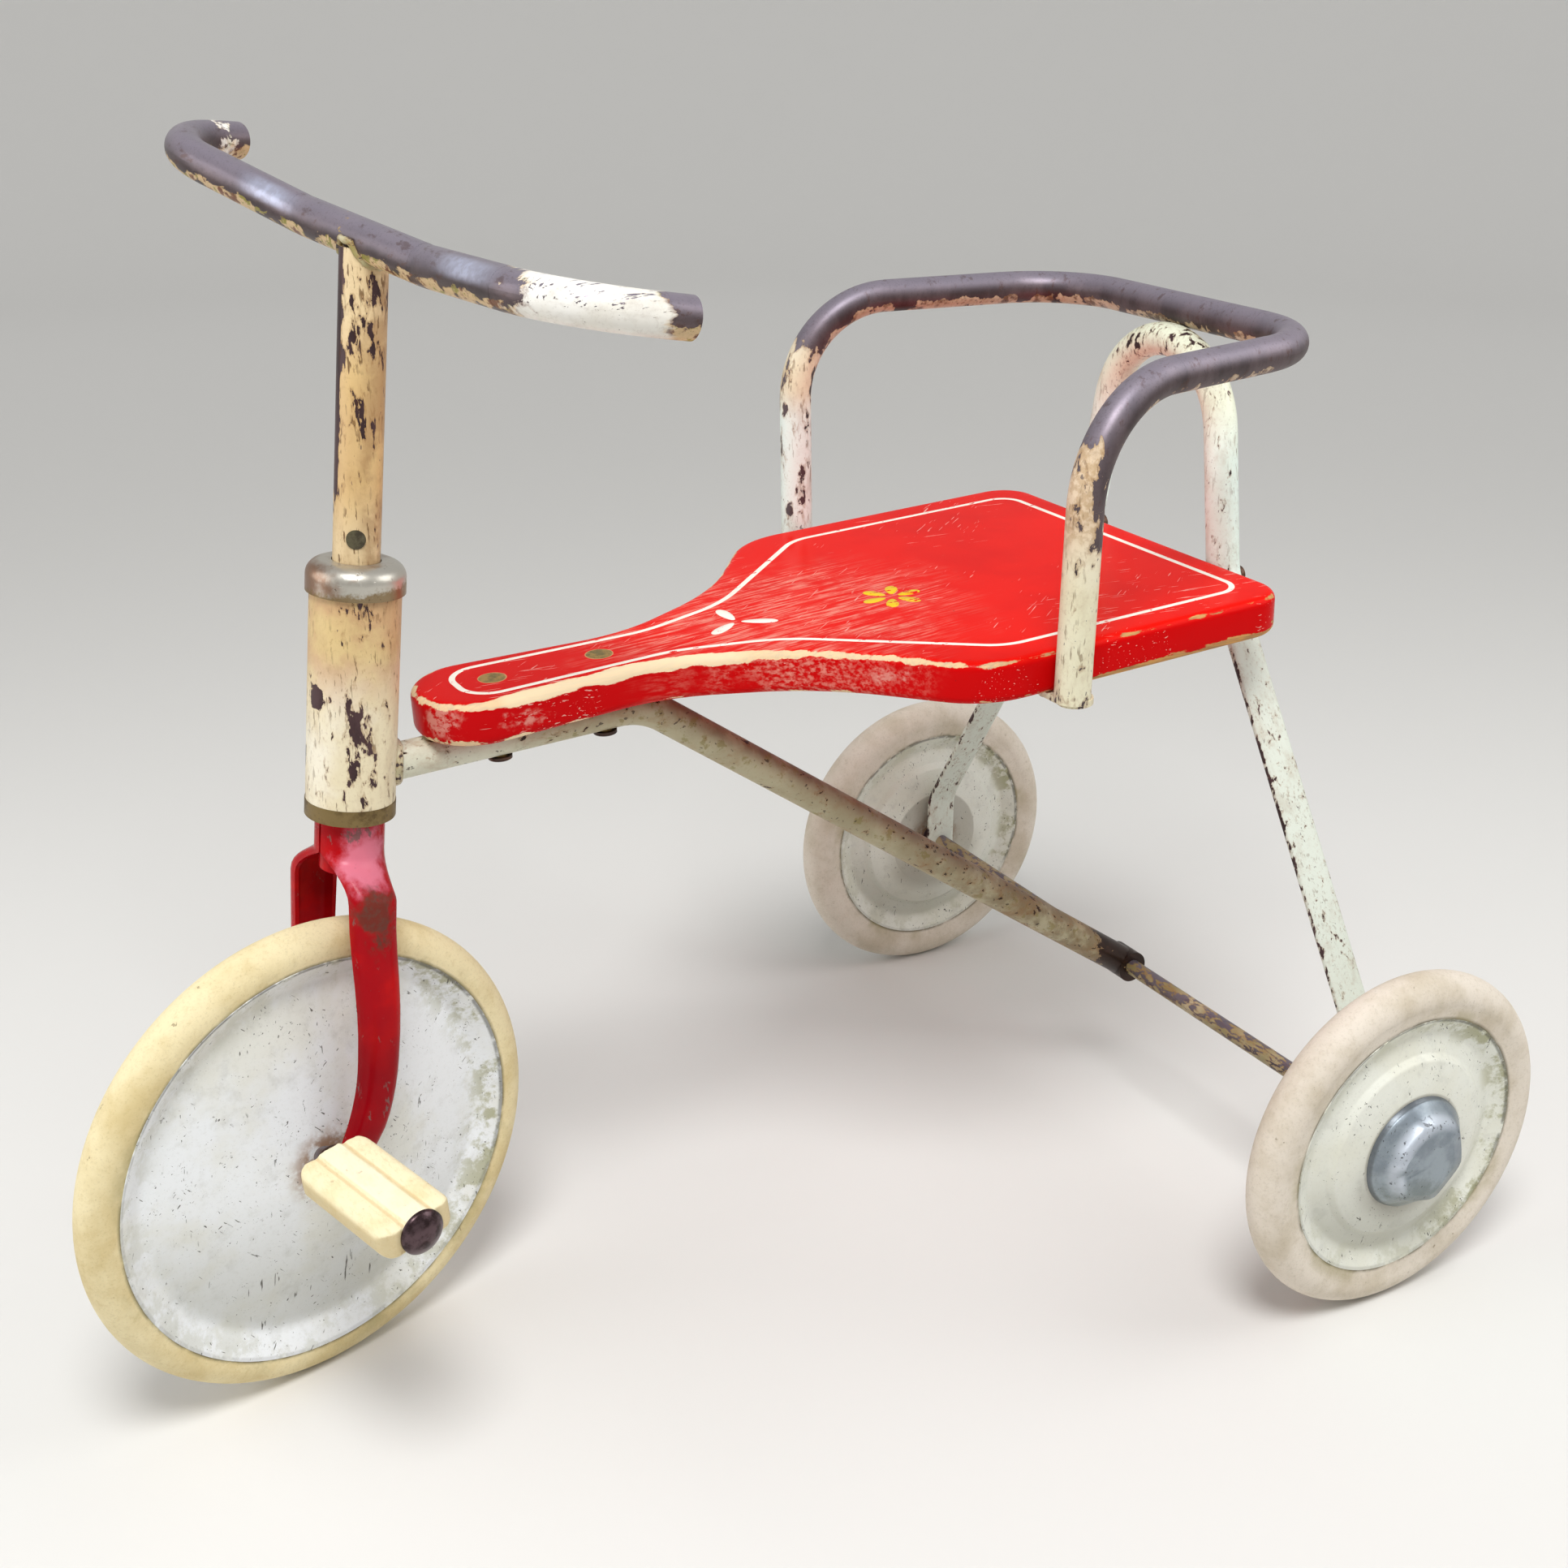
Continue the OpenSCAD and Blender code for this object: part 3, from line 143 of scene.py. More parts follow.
class TrikePaint(bpy.types.PropertyGroup):
    """Colours of the finishes."""
    seat_red: colour("Seat red", "Gloss paint on the seat", 226, 20, 10)
    # deeper red: painted shade on the seat's sides, and patches of deeper tone on its top
    seat_deep_and_shade: colour("Seat deep red", "Darker red along the seat's sides", 200, 8, 10)
    bare_wood: colour("Bare wood", "Wood where the seat's paint has worn off", 214, 160, 96)
    stripe_white: colour("Stripe", "Pinstripe on the seat", 246, 240, 228)
    motif_yellow: colour("Motif yellow", "Flower on the seat", 232, 196, 30)
    fork_red: colour("Fork red", "Enamel of the fork", 162, 8, 20)
    cream_pale: colour("Pale cream", "Cleaner enamel of the head and armrest", 236, 229, 210)
    disc_shade: colour("Disc shade", "Greenish white clouds on the discs", 216, 214, 196)
    bare_steel: colour("Bare steel", "Violet grey steel without its paint", 98, 84, 86)
    dark_brown: colour("Dark brown", "Old steel and deep chips", 62, 44, 36)
    rust: colour("Rust", "Yellow brown rust", 148, 104, 58)
    disc_white: colour("Disc white", "Enamel of the front wheel's discs", 234, 237, 239)
    front_rubber: colour("Front tyre", "Yellowed rubber", 234, 220, 178)
    rear_rubber: colour("Rear tyre", "Off-white rubber", 224, 214, 200)
    pedal_cream: colour("Pedal", "Pale yellow pedal block", 240, 230, 192)
    cap_blue: colour("Hub cap", "Blue grey paint of the hub caps", 148, 158, 166)
    plated: colour("Plating", "Bright plated steel", 196, 192, 182)
    patina: colour("Patina", "Yellow green tarnish", 132, 116, 70)


class TrikeSizes(bpy.types.PropertyGroup):
    """Sizes of what the looks add to the frame."""
    seat_top: length("Seat height", "Seat's top over the rear axle", 309)
    seat_tilt: FloatProperty(name="Seat tilt", description="Forward slope of the seat",
                             default=math.radians(2.405), min=-math.pi, max=math.pi,
                             subtype="ANGLE")
    seat_rear: length("Seat rear", "Seat's rear edge ahead of the rear axle", 8)
    seat_thick: length("Seat thickness", "Thickness of the board", 18.2)
    seat_round: length("Seat edge", "Rounding of the seat's edges", 4)
    stripe_wide: length("Stripe width", "Width of the pinstripe", 2.6)
    stripe_thick: length("Stripe thickness", "Thickness of its paint", 0.24)
    motif_wide: length("Motif", "Length of a petal of the seat's motif", 11)
    motif_petals: IntProperty(name="Petals", description="Petals of the motif",
                              default=6, min=3, max=12)
    weld_wide: length("Weld", "Width of a weld bead", 4.4)


class TrikeStage(bpy.types.PropertyGroup):
    """Floor, lamps and lens."""
    floor: colour("Floor", "Plain pale floor and backdrop", 226, 225, 222)
    key_power: amount("Key", "Power of the main lamp", 31, unit="POWER")
    fill_power: amount("Fill", "Power of the side lamp", 4, unit="POWER")
    back_power: amount("Back", "Power of the rear lamp", 4, unit="POWER")
    backdrop: amount("Backdrop", "How much paler the backdrop looks", 0.10, 1)
    sky: amount("Sky", "Strength of the even light", 0.46, 2)
    lens: amount("Lens", "Focal length in millimetres", 46.75, 200)


# Nodes


def feed(tree, socket, value):
    """Links a socket to another one, or sets its value."""
    if isinstance(value, bpy.types.NodeSocket):
        tree.links.new(value, socket)
    elif socket.type == "RGBA" and len(value) == 3:
        socket.default_value = (*value, 1.0)
    else:
        socket.default_value = value


def add_node(tree, kind, inputs=None, out=0, **settings):
    """Adds a node, feeds its inputs by name or number and returns one output."""
    made = tree.nodes.new(kind)
    for key, value in settings.items():
        setattr(made, key, value)
    for key, value in (inputs or {}).items():
        feed(tree, made.inputs[key], value)
    return made.outputs[out]


class Finish:
    """One node material. Helpers take numbers, colours or sockets."""

    def __init__(self, name):
        self.mat = bpy.data.materials.new(name)
        self.mat.use_nodes = True
        self.tree = self.mat.node_tree
        self.shader = self.tree.nodes["Principled BSDF"]
        self.node = functools.partial(add_node, self.tree)
        texture = self.tree.nodes.new("ShaderNodeTexCoord").outputs
        self.here, self.normal = texture["Object"], texture["Normal"]

    def set(self, **values):
        for key, value in values.items():
            feed(self.tree, self.shader.inputs[key.replace("_", " ")], value)

    def math(self, kind, a, b=0.0, clamp=False):
        return self.node("ShaderNodeMath", {0: a, 1: b}, operation=kind, use_clamp=clamp)

    def fold(self, kind, sockets):
        """The sockets put together in turn by one kind of math node."""
        return functools.reduce(lambda a, b: self.math(kind, a, b), sockets)

    def times(self, *factors):
        return self.fold("MULTIPLY", factors)

    def plus(self, *terms):
        return self.fold("ADD", terms)

    def most(self, *sockets):
        return self.fold("MAXIMUM", sockets)

    def minus(self, a, b):
        return self.math("SUBTRACT", a, b)

    def weighed(self, *pairs):
        """The sum of sockets, each times its weight."""
        return self.plus(*(self.times(socket, weight) for socket, weight in pairs))

    def vector(self, kind, a, b=(0.0, 0.0, 0.0), out="Vector"):
        return self.node("ShaderNodeVectorMath", {0: a, 1: b}, out, operation=kind)

    def dot(self, a, b):
        return self.vector("DOT_PRODUCT", a, b, "Value")

    def long(self, vector):
        return self.vector("LENGTH", vector, out="Value")

    def part(self, vector, index):
        return self.node("ShaderNodeSeparateXYZ", {0: vector}, index)

    def stretched(self, scale, angles=(0.0, 0.0, 0.0)):
        """Object coordinates turned by the angles, then scaled."""
        return self.node("ShaderNodeMapping", {
            "Vector": self.here, "Scale": [1 / s for s in scale],
            "Rotation": [math.radians(a) for a in angles]}, vector_type="TEXTURE")

    def noise(self, size, detail, rough, seed, where=None, warp=0.0):
        """Noise whose features are about size millimetres across."""
        return self.node("ShaderNodeTexNoise", {
            "Vector": where or self.here, "W": seed, "Scale": 1 / (size * MM),
            "Detail": detail, "Roughness": rough, "Distortion": warp},
            noise_dimensions="4D")

    def step(self, value, low, high):
        """0 below low, 1 above high, smooth between."""
        return self.node("ShaderNodeMapRange", {
            "Value": value, "From Min": low, "From Max": high},
            interpolation_type="SMOOTHSTEP")

    def patches(self, low, high, *noise):
        """Noise cut to patches: 0 where it is below low, 1 above high."""
        return self.step(self.noise(*noise), low, high)

    def along(self, index, low, high):
        """0 below one place on an axis, 1 above the other, both in metres."""
        return self.step(self.part(self.here, index), low, high)

    def upward(self, low, high):
        """0 where the normal's Z is below low, 1 above high."""
        return self.step(self.part(self.normal, Z), low, high)

    def facing(self, way):
        """How far the surface faces a direction, from -1 to 1."""
        return self.dot(self.normal, way)

    def mix(self, share, a, b):
        return self.node("ShaderNodeMix", {0: share, 6: a, 7: b}, 2, data_type="RGBA")

    def over(self, body, share, strength, tint):
        """A tint laid over the body where share is 1, as strong as strength."""
        return self.mix(self.times(share, strength), body, tint)

    def blend(self, share, a, b):
        return self.node("ShaderNodeMix", {0: share, 2: a, 3: b}, data_type="FLOAT")

    def near(self, place, radius, soft, squeeze=(1.0, 1.0, 1.0), torn=None):
        """1 within radius millimetres of a place, 0 beyond radius + soft."""
        away = self.vector("SUBTRACT", self.here, place)
        reach = self.long(self.vector("MULTIPLY", away, squeeze))
        if torn:
            reach = self.plus(reach, torn)
        return self.step(reach, (radius + soft) * MM, radius * MM)

    def torn(self, tear, size, seed, long=(1.0, 1.0, 1.0)):
        """A ragged offset of about tear millimetres, for the edge of a patch."""
        rag = self.noise(size, 6, 0.62, seed, self.stretched(long))
        return self.times(self.minus(rag, 0.5), tear * MM)

    def spot(self, place, radius, soft, squeeze, *tear):
        """A ragged spot; tear holds what torn takes."""
        return self.near(place, radius, soft, squeeze, self.torn(*tear))

    def round_axis(self, place, axis):
        """Distance from an axis, in millimetres."""
        away = self.vector("SUBTRACT", self.here, place)
        across = self.vector("CROSS_PRODUCT", away, axis)
        return self.math("DIVIDE", self.long(across), MM)

    def strokes(self, long, thin, angles, level, seed, share):
        """Fine dark strokes: a stretched noise cut high, thinned by a broad one."""
        where = self.stretched((thin / long, 1.0, 1.0), angles)
        line = self.patches(level, level + 0.02, thin, 2, 0.5, seed, where, 0.5)
        return self.times(line, self.patches(share, share + 0.05, long * 1.6, 2, 0.5, seed + 3))

    def bump(self, height, depth, strength=1.0):
        """Bump of the given depth in millimetres."""
        self.set(Normal=self.node("ShaderNodeBump", {
            "Height": height, "Strength": strength, "Distance": depth * MM}))


def old_steel(f, dark, seed, painted_shine, where):
    """Violet grey steel with brown clouds, and a painted highlight where it faces up."""
    body = f.mix(f.patches(0.36, 0.64, 12, 5, 0.62, seed, where), dark, darker(dark, 0.5))
    # painted highlight: a lighter bluish grey on the faces that look up
    body = f.over(body, f.upward(-0.1, 0.95), painted_shine, shade(172, 164, 180))
    spots = f.patches(0.56, 0.66, 3.6, 5, 0.66, seed + 1, where)
    body = f.over(body, spots, 0.5, shade(84, 52, 38))
    return f.over(body, f.patches(0.5, 0.78, 0.9, 3, 0.6, seed + 2), 0.3, shade(48, 38, 40))


def enamel(name, coat, coat_two, metal, stain, level=0.62, size=4.0, wear=None,
           long=(1.0, 1.0, 1.0), stains=0.3, specks=0.68, gloss=0.4, seed=1.0, tint=None,
           painted_shine=0.0, cracks=0.0, dull=0.26, painted_glints=None):
    """Old enamel on steel, rubbed, cracked and chipped down to the metal."""
    f = Finish(name)
    where = f.stretched(long)
    mottle = f.noise(8, 5, 0.65, seed + 1, where)
    pattern = f.noise(size, 6, 0.6, seed + 2, where, 0.35)
    if wear:
        pattern = f.plus(pattern, wear(f))
    chips = f.step(pattern, level, level + 0.012)
    halo = f.step(pattern, level - 0.07, level)
    fine = f.patches(specks, specks + 0.03, 1.8, 3, 0.6, seed + 4, where)
    body = f.mix(f.patches(0.38, 0.62, 38, 4, 0.6, seed), coat, coat_two)
    if tint:
        body = tint(f, body)
    body = f.over(body, f.step(mottle, 0.46, 0.76), stains, stain)
    body = f.over(body, f.patches(0.5, 0.74, 1.5, 4, 0.7, seed + 3), 0.22, stain)
    if cracks:
        thin = f.patches(0.575, 0.62, 1.5, 3, 0.6, seed + 7, f.stretched((1, 1, 0.16)))
        lines = f.times(thin, f.patches(0.42, 0.58, 16, 3, 0.6, seed + 8))
        body = f.over(body, lines, cracks, darker(stain, 0.5))
    body = f.over(body, halo, 0.45, stain)
    body = f.over(body, fine, 0.8, metal)
    bare = old_steel(f, metal, seed + 5, painted_shine, where)
    # painted highlights laid over the bare steel, where a table of them is given
    if painted_glints:
        bare = f.mix(painted_glints(f), bare, shade(190, 194, 216))
    f.set(Base_Color=f.mix(chips, body, bare),
          Metallic=f.times(chips, 0.55), Specular_IOR_Level=0.35,
          Roughness=f.blend(chips, f.blend(mottle, gloss - 0.1, gloss + 0.16),
                            f.blend(mottle, dull, dull + 0.2)))
    f.bump(f.minus(f.times(mottle, 0.25), chips), 0.22, 0.7)
    return f.mat


# Meshes and pieces


@contextlib.contextmanager
def edited(mesh):
    """A bmesh of the mesh, written back at the end."""
    bm = bmesh.new()
    bm.from_mesh(mesh)
    yield bm
    bm.to_mesh(mesh)
    bm.free()


def smooth(mesh, degrees=35.0):
    for face in mesh.polygons:
        face.use_smooth = True
    mesh.set_sharp_from_angle(angle=math.radians(degrees))


def new_object(name, data):
    made = bpy.data.objects.new(name, data)
    bpy.context.scene.collection.objects.link(made)
    return made


def add_piece(name, mesh, body, slot, mat, *replaced):
    """Links a finished mesh as a piece of the tricycle."""
    piece = new_object(name, mesh)
    mesh.materials.clear()
    mesh.materials.append(mat)
    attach(piece, body)
    if replaced:
        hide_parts(*replaced)
    return piece


def mesh_of(name, points, faces):
    mesh = bpy.data.meshes.new(name)
    mesh.from_pydata([tuple(p) for p in points], [], faces)
    mesh.validate()
    return mesh


def smooth_copy(node, name, body, slot, mat, degrees=35.0):
    """A merged copy of a node, shaded smooth, that stands for it."""
    mesh = NODES[node].data.copy()
    mesh.name = name
    with edited(mesh) as bm:
        bmesh.ops.remove_doubles(bm, verts=bm.verts, dist=MERGE_REACH)
    if "custom_normal" in mesh.attributes:
        mesh.attributes.remove(mesh.attributes["custom_normal"])
    smooth(mesh, degrees)
    return add_piece(name, mesh, body, slot, mat, node)


def paint(mat, *nodes):
    """Gives CAD nodes a material."""
    for node in nodes:
        piece = NODES[node]
        if not piece.material_slots:
            piece.data.materials.append(mat)
        for place in piece.material_slots:
            place.material = mat


def rings_mesh(name, rings):
    """A skin over rings of equally many points, with its ends filled."""
    count = len(rings[0])
    faces = []
    for j in range(len(rings) - 1):
        for i in range(count):
            a, b = j * count + i, j * count + (i + 1) % count
            faces.append((a, b, b + count, a + count))
    last = (len(rings) - 1) * count
    faces += [tuple(reversed(range(count))), tuple(range(last, last + count))]
    mesh = mesh_of(name, [p for ring in rings for p in ring], faces)
    with edited(mesh) as bm:
        bmesh.ops.recalc_face_normals(bm, faces=bm.faces)
    return mesh


def evaluated_mesh(thing, name):
    graph = bpy.context.evaluated_depsgraph_get()
    made = bpy.data.meshes.new_from_object(thing.evaluated_get(graph), depsgraph=graph)
    made.name = name
    return made


# Geometry Nodes


def tree_with(name, **inputs):
    """A geometry tree, and the sockets of its named inputs."""
    tree = bpy.data.node_groups.new(name, "GeometryNodeTree")
    ends = tree.interface
    ends.new_socket("Geometry", in_out="INPUT", socket_type="NodeSocketGeometry")
    for label, (kind, value) in inputs.items():
        socket = ends.new_socket(label, in_out="INPUT", socket_type="NodeSocket" + kind)
        socket.default_value = value
    ends.new_socket("Material", in_out="INPUT", socket_type="NodeSocketMaterial")
    ends.new_socket("Geometry", in_out="OUTPUT", socket_type="NodeSocketGeometry")
    return tree, tree.nodes.new("NodeGroupInput").outputs


def finish_tree(tree, given, geometry):
    """Realize Instances, smooth faces and the material close every tree."""
    geometry = add_node(tree, "GeometryNodeRealizeInstances", {0: geometry})
    geometry = add_node(tree, "GeometryNodeSetShadeSmooth", {0: geometry})
    geometry = add_node(tree, "GeometryNodeSetMaterial", {0: geometry,
                                                          "Material": given["Material"]})
    tree.links.new(geometry, tree.nodes.new("NodeGroupOutput").inputs[0])
    return tree


def swept_tree():
    """A closed line swept with an oval section, with optional lumps."""
    tree, given = tree_with("swept_line", Width=("Float", 0.003), Height=("Float", 0.001),
                            Lumps=("Float", 0.0), Lump_size=("Float", 0.004),
                            Seed=("Float", 0.0))
    node = functools.partial(add_node, tree)
    line = node("GeometryNodeMeshToCurve", {0: given["Geometry"]})
    line = node("GeometryNodeSetCurveNormal", {0: line}, mode="Z_UP")
    oval = node("GeometryNodeCurvePrimitiveCircle", {"Resolution": 14, "Radius": 0.5})
    sizes = node("ShaderNodeCombineXYZ", {0: given["Width"], 1: given["Height"]})
    oval = node("GeometryNodeTransform", {0: oval, "Scale": sizes})
    skin = node("GeometryNodeCurveToMesh", {0: line, 1: oval})
    scale = node("ShaderNodeMath", {0: 1.0, 1: given["Lump_size"]}, operation="DIVIDE")
    lumps = node("ShaderNodeTexNoise", {"Scale": scale, "W": given["Seed"]},
                 noise_dimensions="4D")
    lumps = node("ShaderNodeMath", {0: lumps, 1: 0.5}, operation="SUBTRACT")
    lumps = node("ShaderNodeMath", {0: lumps, 1: given["Lumps"]}, operation="MULTIPLY")
    push = node("ShaderNodeVectorMath", {0: node("GeometryNodeInputNormal"),
                                         "Scale": lumps}, operation="SCALE")
    return finish_tree(tree, given, node("GeometryNodeSetPosition", {0: skin,
                                                                     "Offset": push}))


def ring_tree():
    """Copies of the input mesh turned about Z, evenly spaced."""
    tree, given = tree_with("ring_of_copies", Count=("Int", 6))
    node = functools.partial(add_node, tree)
    points = node("GeometryNodeMeshLine", {"Count": given["Count"],
                                           "Offset": (0.0, 0.0, 0.0)})
    share = node("ShaderNodeMath", {0: 2 * math.pi, 1: given["Count"]}, operation="DIVIDE")
    angle = node("ShaderNodeMath", {0: node("GeometryNodeInputIndex"), 1: share},
                 operation="MULTIPLY")
    copies = node("GeometryNodeInstanceOnPoints", {
        "Points": points, "Instance": given["Geometry"],
        "Rotation": node("ShaderNodeCombineXYZ", {Z: angle})})
    return finish_tree(tree, given, copies)


def grown(name, mesh, tree, **values):
    """Runs a tree on a mesh and returns the result as a plain mesh."""
    seed = new_object(name + "_line", mesh)
    modifier = seed.modifiers.new("grow", "NODES")
    modifier.node_group = tree
    ids = {item.name: item.identifier for item in tree.interface.items_tree
           if item.in_out == "INPUT"}
    for label, value in values.items():
        modifier[ids[label]] = value
    made = evaluated_mesh(seed, name)
    bpy.data.objects.remove(seed)
    return made


def loop_mesh(name, points):
    """A closed line of edges."""
    mesh = bpy.data.meshes.new(name)
    count = len(points)
    mesh.from_pydata([tuple(p) for p in points],
                     [(i, (i + 1) % count) for i in range(count)], [])
    return mesh


# Seat

# outlines: distance from the seat's rear edge and half width; then the corners' radii
SEAT_CORNERS = ((0, 104.5), (158, 104.5), (203, 47.7), (260, 20.8), (359, 27.7))
SEAT_RADII = (18, 40, -120, -75, 25)
STRIPE_CORNERS = ((14, 88), (138, 88), (208, 27), (251, 14.3), (341, 16.6))
STRIPE_RADII = (11, 24, 70, 60, 13)
SEAT_BOLTS = (326, 279)
FLOWER_PLACE = (143, 9, 0)
LEAVES_PLACE = (214, -2, 0)
LEAVES_TURN = 0.5
LEAVES_COUNT = 3
# length and width as shares of the motif's size, and distance from its middle
PETAL = (1.0, 0.62, 3.2)
LEAF = (1.45, 0.6, 2.0)
MOTIF_THICK = 0.12
# rubbed patches on the seat's sides: place, radius, soft edge, squeeze and tear
SEAT_RUBS = (
    ((352, 14, -7), 5, 5, (1, 1, 1), (16, 5, 16)),
    ((322, 25, -10), 1, 4, (0.4, 1, 1), (14, 4, 17)),
    ((182, 72, -8), 1, 5, (0.6, 0.6, 1.2), (24, 8, 18)),
)


def arc(p, q, s, radius, count):
    """Points of the arc that rounds corner q between p and s."""
    a, b = (q - p).normalized(), (s - q).normalized()
    angle = a.angle(b)
    inward = (b - a * a.dot(b)).normalized()
    start = q - a * radius * math.tan(angle / 2)
    centre = start + inward * radius
    return [centre - inward * radius * math.cos(angle * k / count)
            + a * radius * math.sin(angle * k / count) for k in range(count + 1)]


def seat_line(corners, radii, inset=0.0, counts=16):
    """Closed outline of the seat or its stripe, drawn in by an inset, in millimetres."""
    tip = corners[-1][0]
    p = [Vector((corners[0][0], 0)), *[Vector(c) for c in corners], Vector((tip, 0))]
    line = [Vector((corners[0][0] + inset, 0))]
    for i in range(1, len(p) - 1):
        a, b = (p[i] - p[i - 1]).normalized(), (p[i + 1] - p[i]).normalized()
        na, nb = Vector((a.y, -a.x)), Vector((b.y, -b.x))
        line.append(p[i] + inset * (na + nb) / (1 + na.dot(nb)))
    line.append(Vector((tip - inset, 0)))
    half = []
    for i, radius in enumerate(radii):
        # a radius below 0 marks a hollow corner, which grows as the line is drawn in
        size = radius - inset if radius > 0 else -radius + inset
        half += arc(line[i], line[i + 1], line[i + 2], size, counts)
    return half + [Vector((v.x, -v.y)) for v in reversed(half)]


def seat_matrix():
    """From the seat's flat frame in millimetres to its place."""
    sizes = bpy.context.scene.trike_sizes
    rise = Matrix.Translation(Vector((REAR_X, 0, sizes.seat_top)))
    tilt = Matrix.Rotation(sizes.seat_tilt, 4, "Y")
    shift = Matrix.Translation(Vector((sizes.seat_rear / math.cos(sizes.seat_tilt), 0, 0)))
    return rise @ tilt @ shift @ Matrix.Diagonal((MM, MM, MM, 1))


def seat_point(x, y=0.0, z=0.0):
    return seat_matrix() @ Vector((x, y, z))


def seat_levels(thick, radius):
    """Insets and heights of the seat's rings, from the underside to the top."""
    steps = 7
    turns = [math.pi / 2 * k / steps for k in range(steps + 1)]
    return [(14, -thick), (7, -thick),
            *[(radius * (1 - math.sin(a)), -thick + radius * (1 - math.cos(a)))
              for a in turns],
            (0, -thick / 2),
            *[(radius * (1 - math.cos(a)), -radius * (1 - math.sin(a))) for a in turns],
            (6, 0), (9, 0), (13, 0)]


def seat_mesh(sizes):
    """The board, with each point's distance from its worn edges as attributes."""
    thick, radius = sizes.seat_thick / MM, sizes.seat_round / MM
    levels = seat_levels(thick, radius)
    rings, reach = [], [0.0]
    for i, (inset, height) in enumerate(levels):
        rings.append([(v.x, v.y, height) for v in seat_line(SEAT_CORNERS, SEAT_RADII, inset)])
        if i:
            reach.append(reach[-1] + math.dist(levels[i], levels[i - 1]))
    mesh = rings_mesh("seat_wood", rings)
    half_side, curl = thick / 2 - radius, math.pi / 4 * radius
    mid = reach[levels.index((0, -thick / 2))]
    for label, edge in (("top_edge", mid + half_side + curl),
                        ("low_edge", mid - half_side - curl)):
        mesh.attributes.new(label, "FLOAT", "POINT").data.foreach_set("value", [
            abs(r - edge) for r in reach for _ in rings[0]])
    mesh.transform(seat_matrix())
    smooth(mesh)
    return mesh


def seat_finish(tints):
    """Red gloss over wood: scuffs along the grain and bare edges, and painted shade on its
    sides.
    """
    f = Finish("seat_gloss_red")
    top, low = [f.node("ShaderNodeAttribute", out="Fac", attribute_name=edge)
                for edge in ("top_edge", "low_edge")]
    grain_at = f.stretched((0.07, 1.0, 1.0), (0, 0, 4))
    grain = f.noise(1.6, 4, 0.6, 2, grain_at)
    rag = f.noise(6, 6, 0.65, 7, f.stretched((0.35, 1, 1)))
    # painted shade: the sides take the deeper red, the top the plain red
    side = f.upward(0.85, 0.2)
    body = f.mix(side, tints.seat_red, tints.seat_deep_and_shade)
    body = f.over(body, f.patches(0.42, 0.7, 38, 3, 0.55, 5), 0.35, tints.seat_deep_and_shade)
    body = f.over(body, f.along(X, ahead(240), ahead(340)), 0.5, shade(186, 12, 18))
    # dull scuffs where the rider slides on
    rub = f.times(f.step(grain, 0.42, 0.66), f.patches(0.34, 0.58, 20, 5, 0.62, 9))
    zone = f.most(f.spot(seat_point(190, 8), 34, 60, (1, 1.1, 1), 60, 30, 6),
                  f.spot(seat_point(238, -6), 12, 34, (0.7, 1.1, 1), 40, 18, 8))
    haze = f.times(rub, zone, 0.8)
    body = f.mix(haze, body, (0.80, 0.36, 0.28))
    light = f.most(f.strokes(26, 0.9, (0, 0, -12), 0.655, 11, 0.52),
                   f.strokes(20, 0.8, (0, 0, 38), 0.665, 15, 0.54))
    body = f.over(body, light, 0.6, (0.86, 0.58, 0.5))
    body = f.over(body, f.patches(0.70, 0.73, 1.7, 3, 0.6, 12), 0.5, (0.12, 0.02, 0.015))
    # bare wood: a thin worn line along the top edge, wide flakes along the lower edge
    front = f.along(X, ahead(120), ahead(200))
    neck = f.times(f.along(X, ahead(205), ahead(250)), f.along(X, ahead(352), ahead(335)))
    worn_neck = f.times(neck, f.along(Y, -0.004, 0.006))
    reach = f.weighed((f.minus(rag, 0.5), 7.5), (front, 1.05), (worn_neck, 1.9))
    top_bare = f.step(f.minus(reach, top), -0.35, 0.15)
    rear_left = f.times(f.along(X, ahead(135), ahead(100)), f.along(Y, 0.06, 0.09))
    nose = f.along(X, ahead(300), ahead(360))
    reach = f.weighed((f.minus(rag, 0.52), 14.0), (rear_left, 3.2), (nose, 1.6))
    bare = f.most(top_bare, f.step(f.minus(reach, low), -0.3, 0.2))
    # rubbed patches on the sides: at the nose and below the left shoulder
    spots = [f.spot(seat_point(*place), radius, soft, squeeze, *tear)
             for place, radius, soft, squeeze, tear in SEAT_RUBS]
    flaked = f.patches(0.42, 0.54, 3.4, 6, 0.66, 22, f.stretched((0.5, 1, 1)))
    rubbed = f.times(f.plus(*spots), side, 0.5, flaked)
    body = f.mix(rubbed, body, (0.78, 0.46, 0.38))
    wood = f.mix(f.patches(0.35, 0.7, 1.2, 3, 0.6, 13, grain_at), tints.bare_wood,
                 (0.35, 0.20, 0.10))
    wood = f.over(wood, f.most(worn_neck, f.times(front, 0.7)), 0.8, shade(252, 232, 196))
    rings = [f.near(seat_point(x), 5.6, 0.5) for x in SEAT_BOLTS]
    body = f.over(body, f.plus(*rings), 0.9, shade(214, 176, 124))
    f.set(Base_Color=f.mix(bare, body, wood), Specular_IOR_Level=0.03,
          Roughness=f.blend(bare, f.blend(f.most(haze, light), 0.22, 0.45), 0.62),
          Coat_Weight=0.02, Coat_Roughness=0.1)
    f.bump(f.weighed((bare, -1.0), (grain, 0.12), (light, -0.25)), 0.28, 0.6)
    return f.mat


def film_finish(name, tint, red, worn=0.62, size=3.0):
    """Thin paint on the seat that has worn through to the red in places."""
    f = Finish(name)
    gone = f.patches(worn, worn + 0.02, size, 5, 0.62, 21, f.stretched((0.4, 1, 1)))
    body = f.over(tint, f.patches(0.4, 0.7, 16, 3, 0.5, 4), 0.16, (0.55, 0.30, 0.22))
    f.set(Base_Color=f.mix(gone, body, red), Roughness=f.blend(gone, 0.38, 0.26),
          Specular_IOR_Level=0.1)
    return f.mat


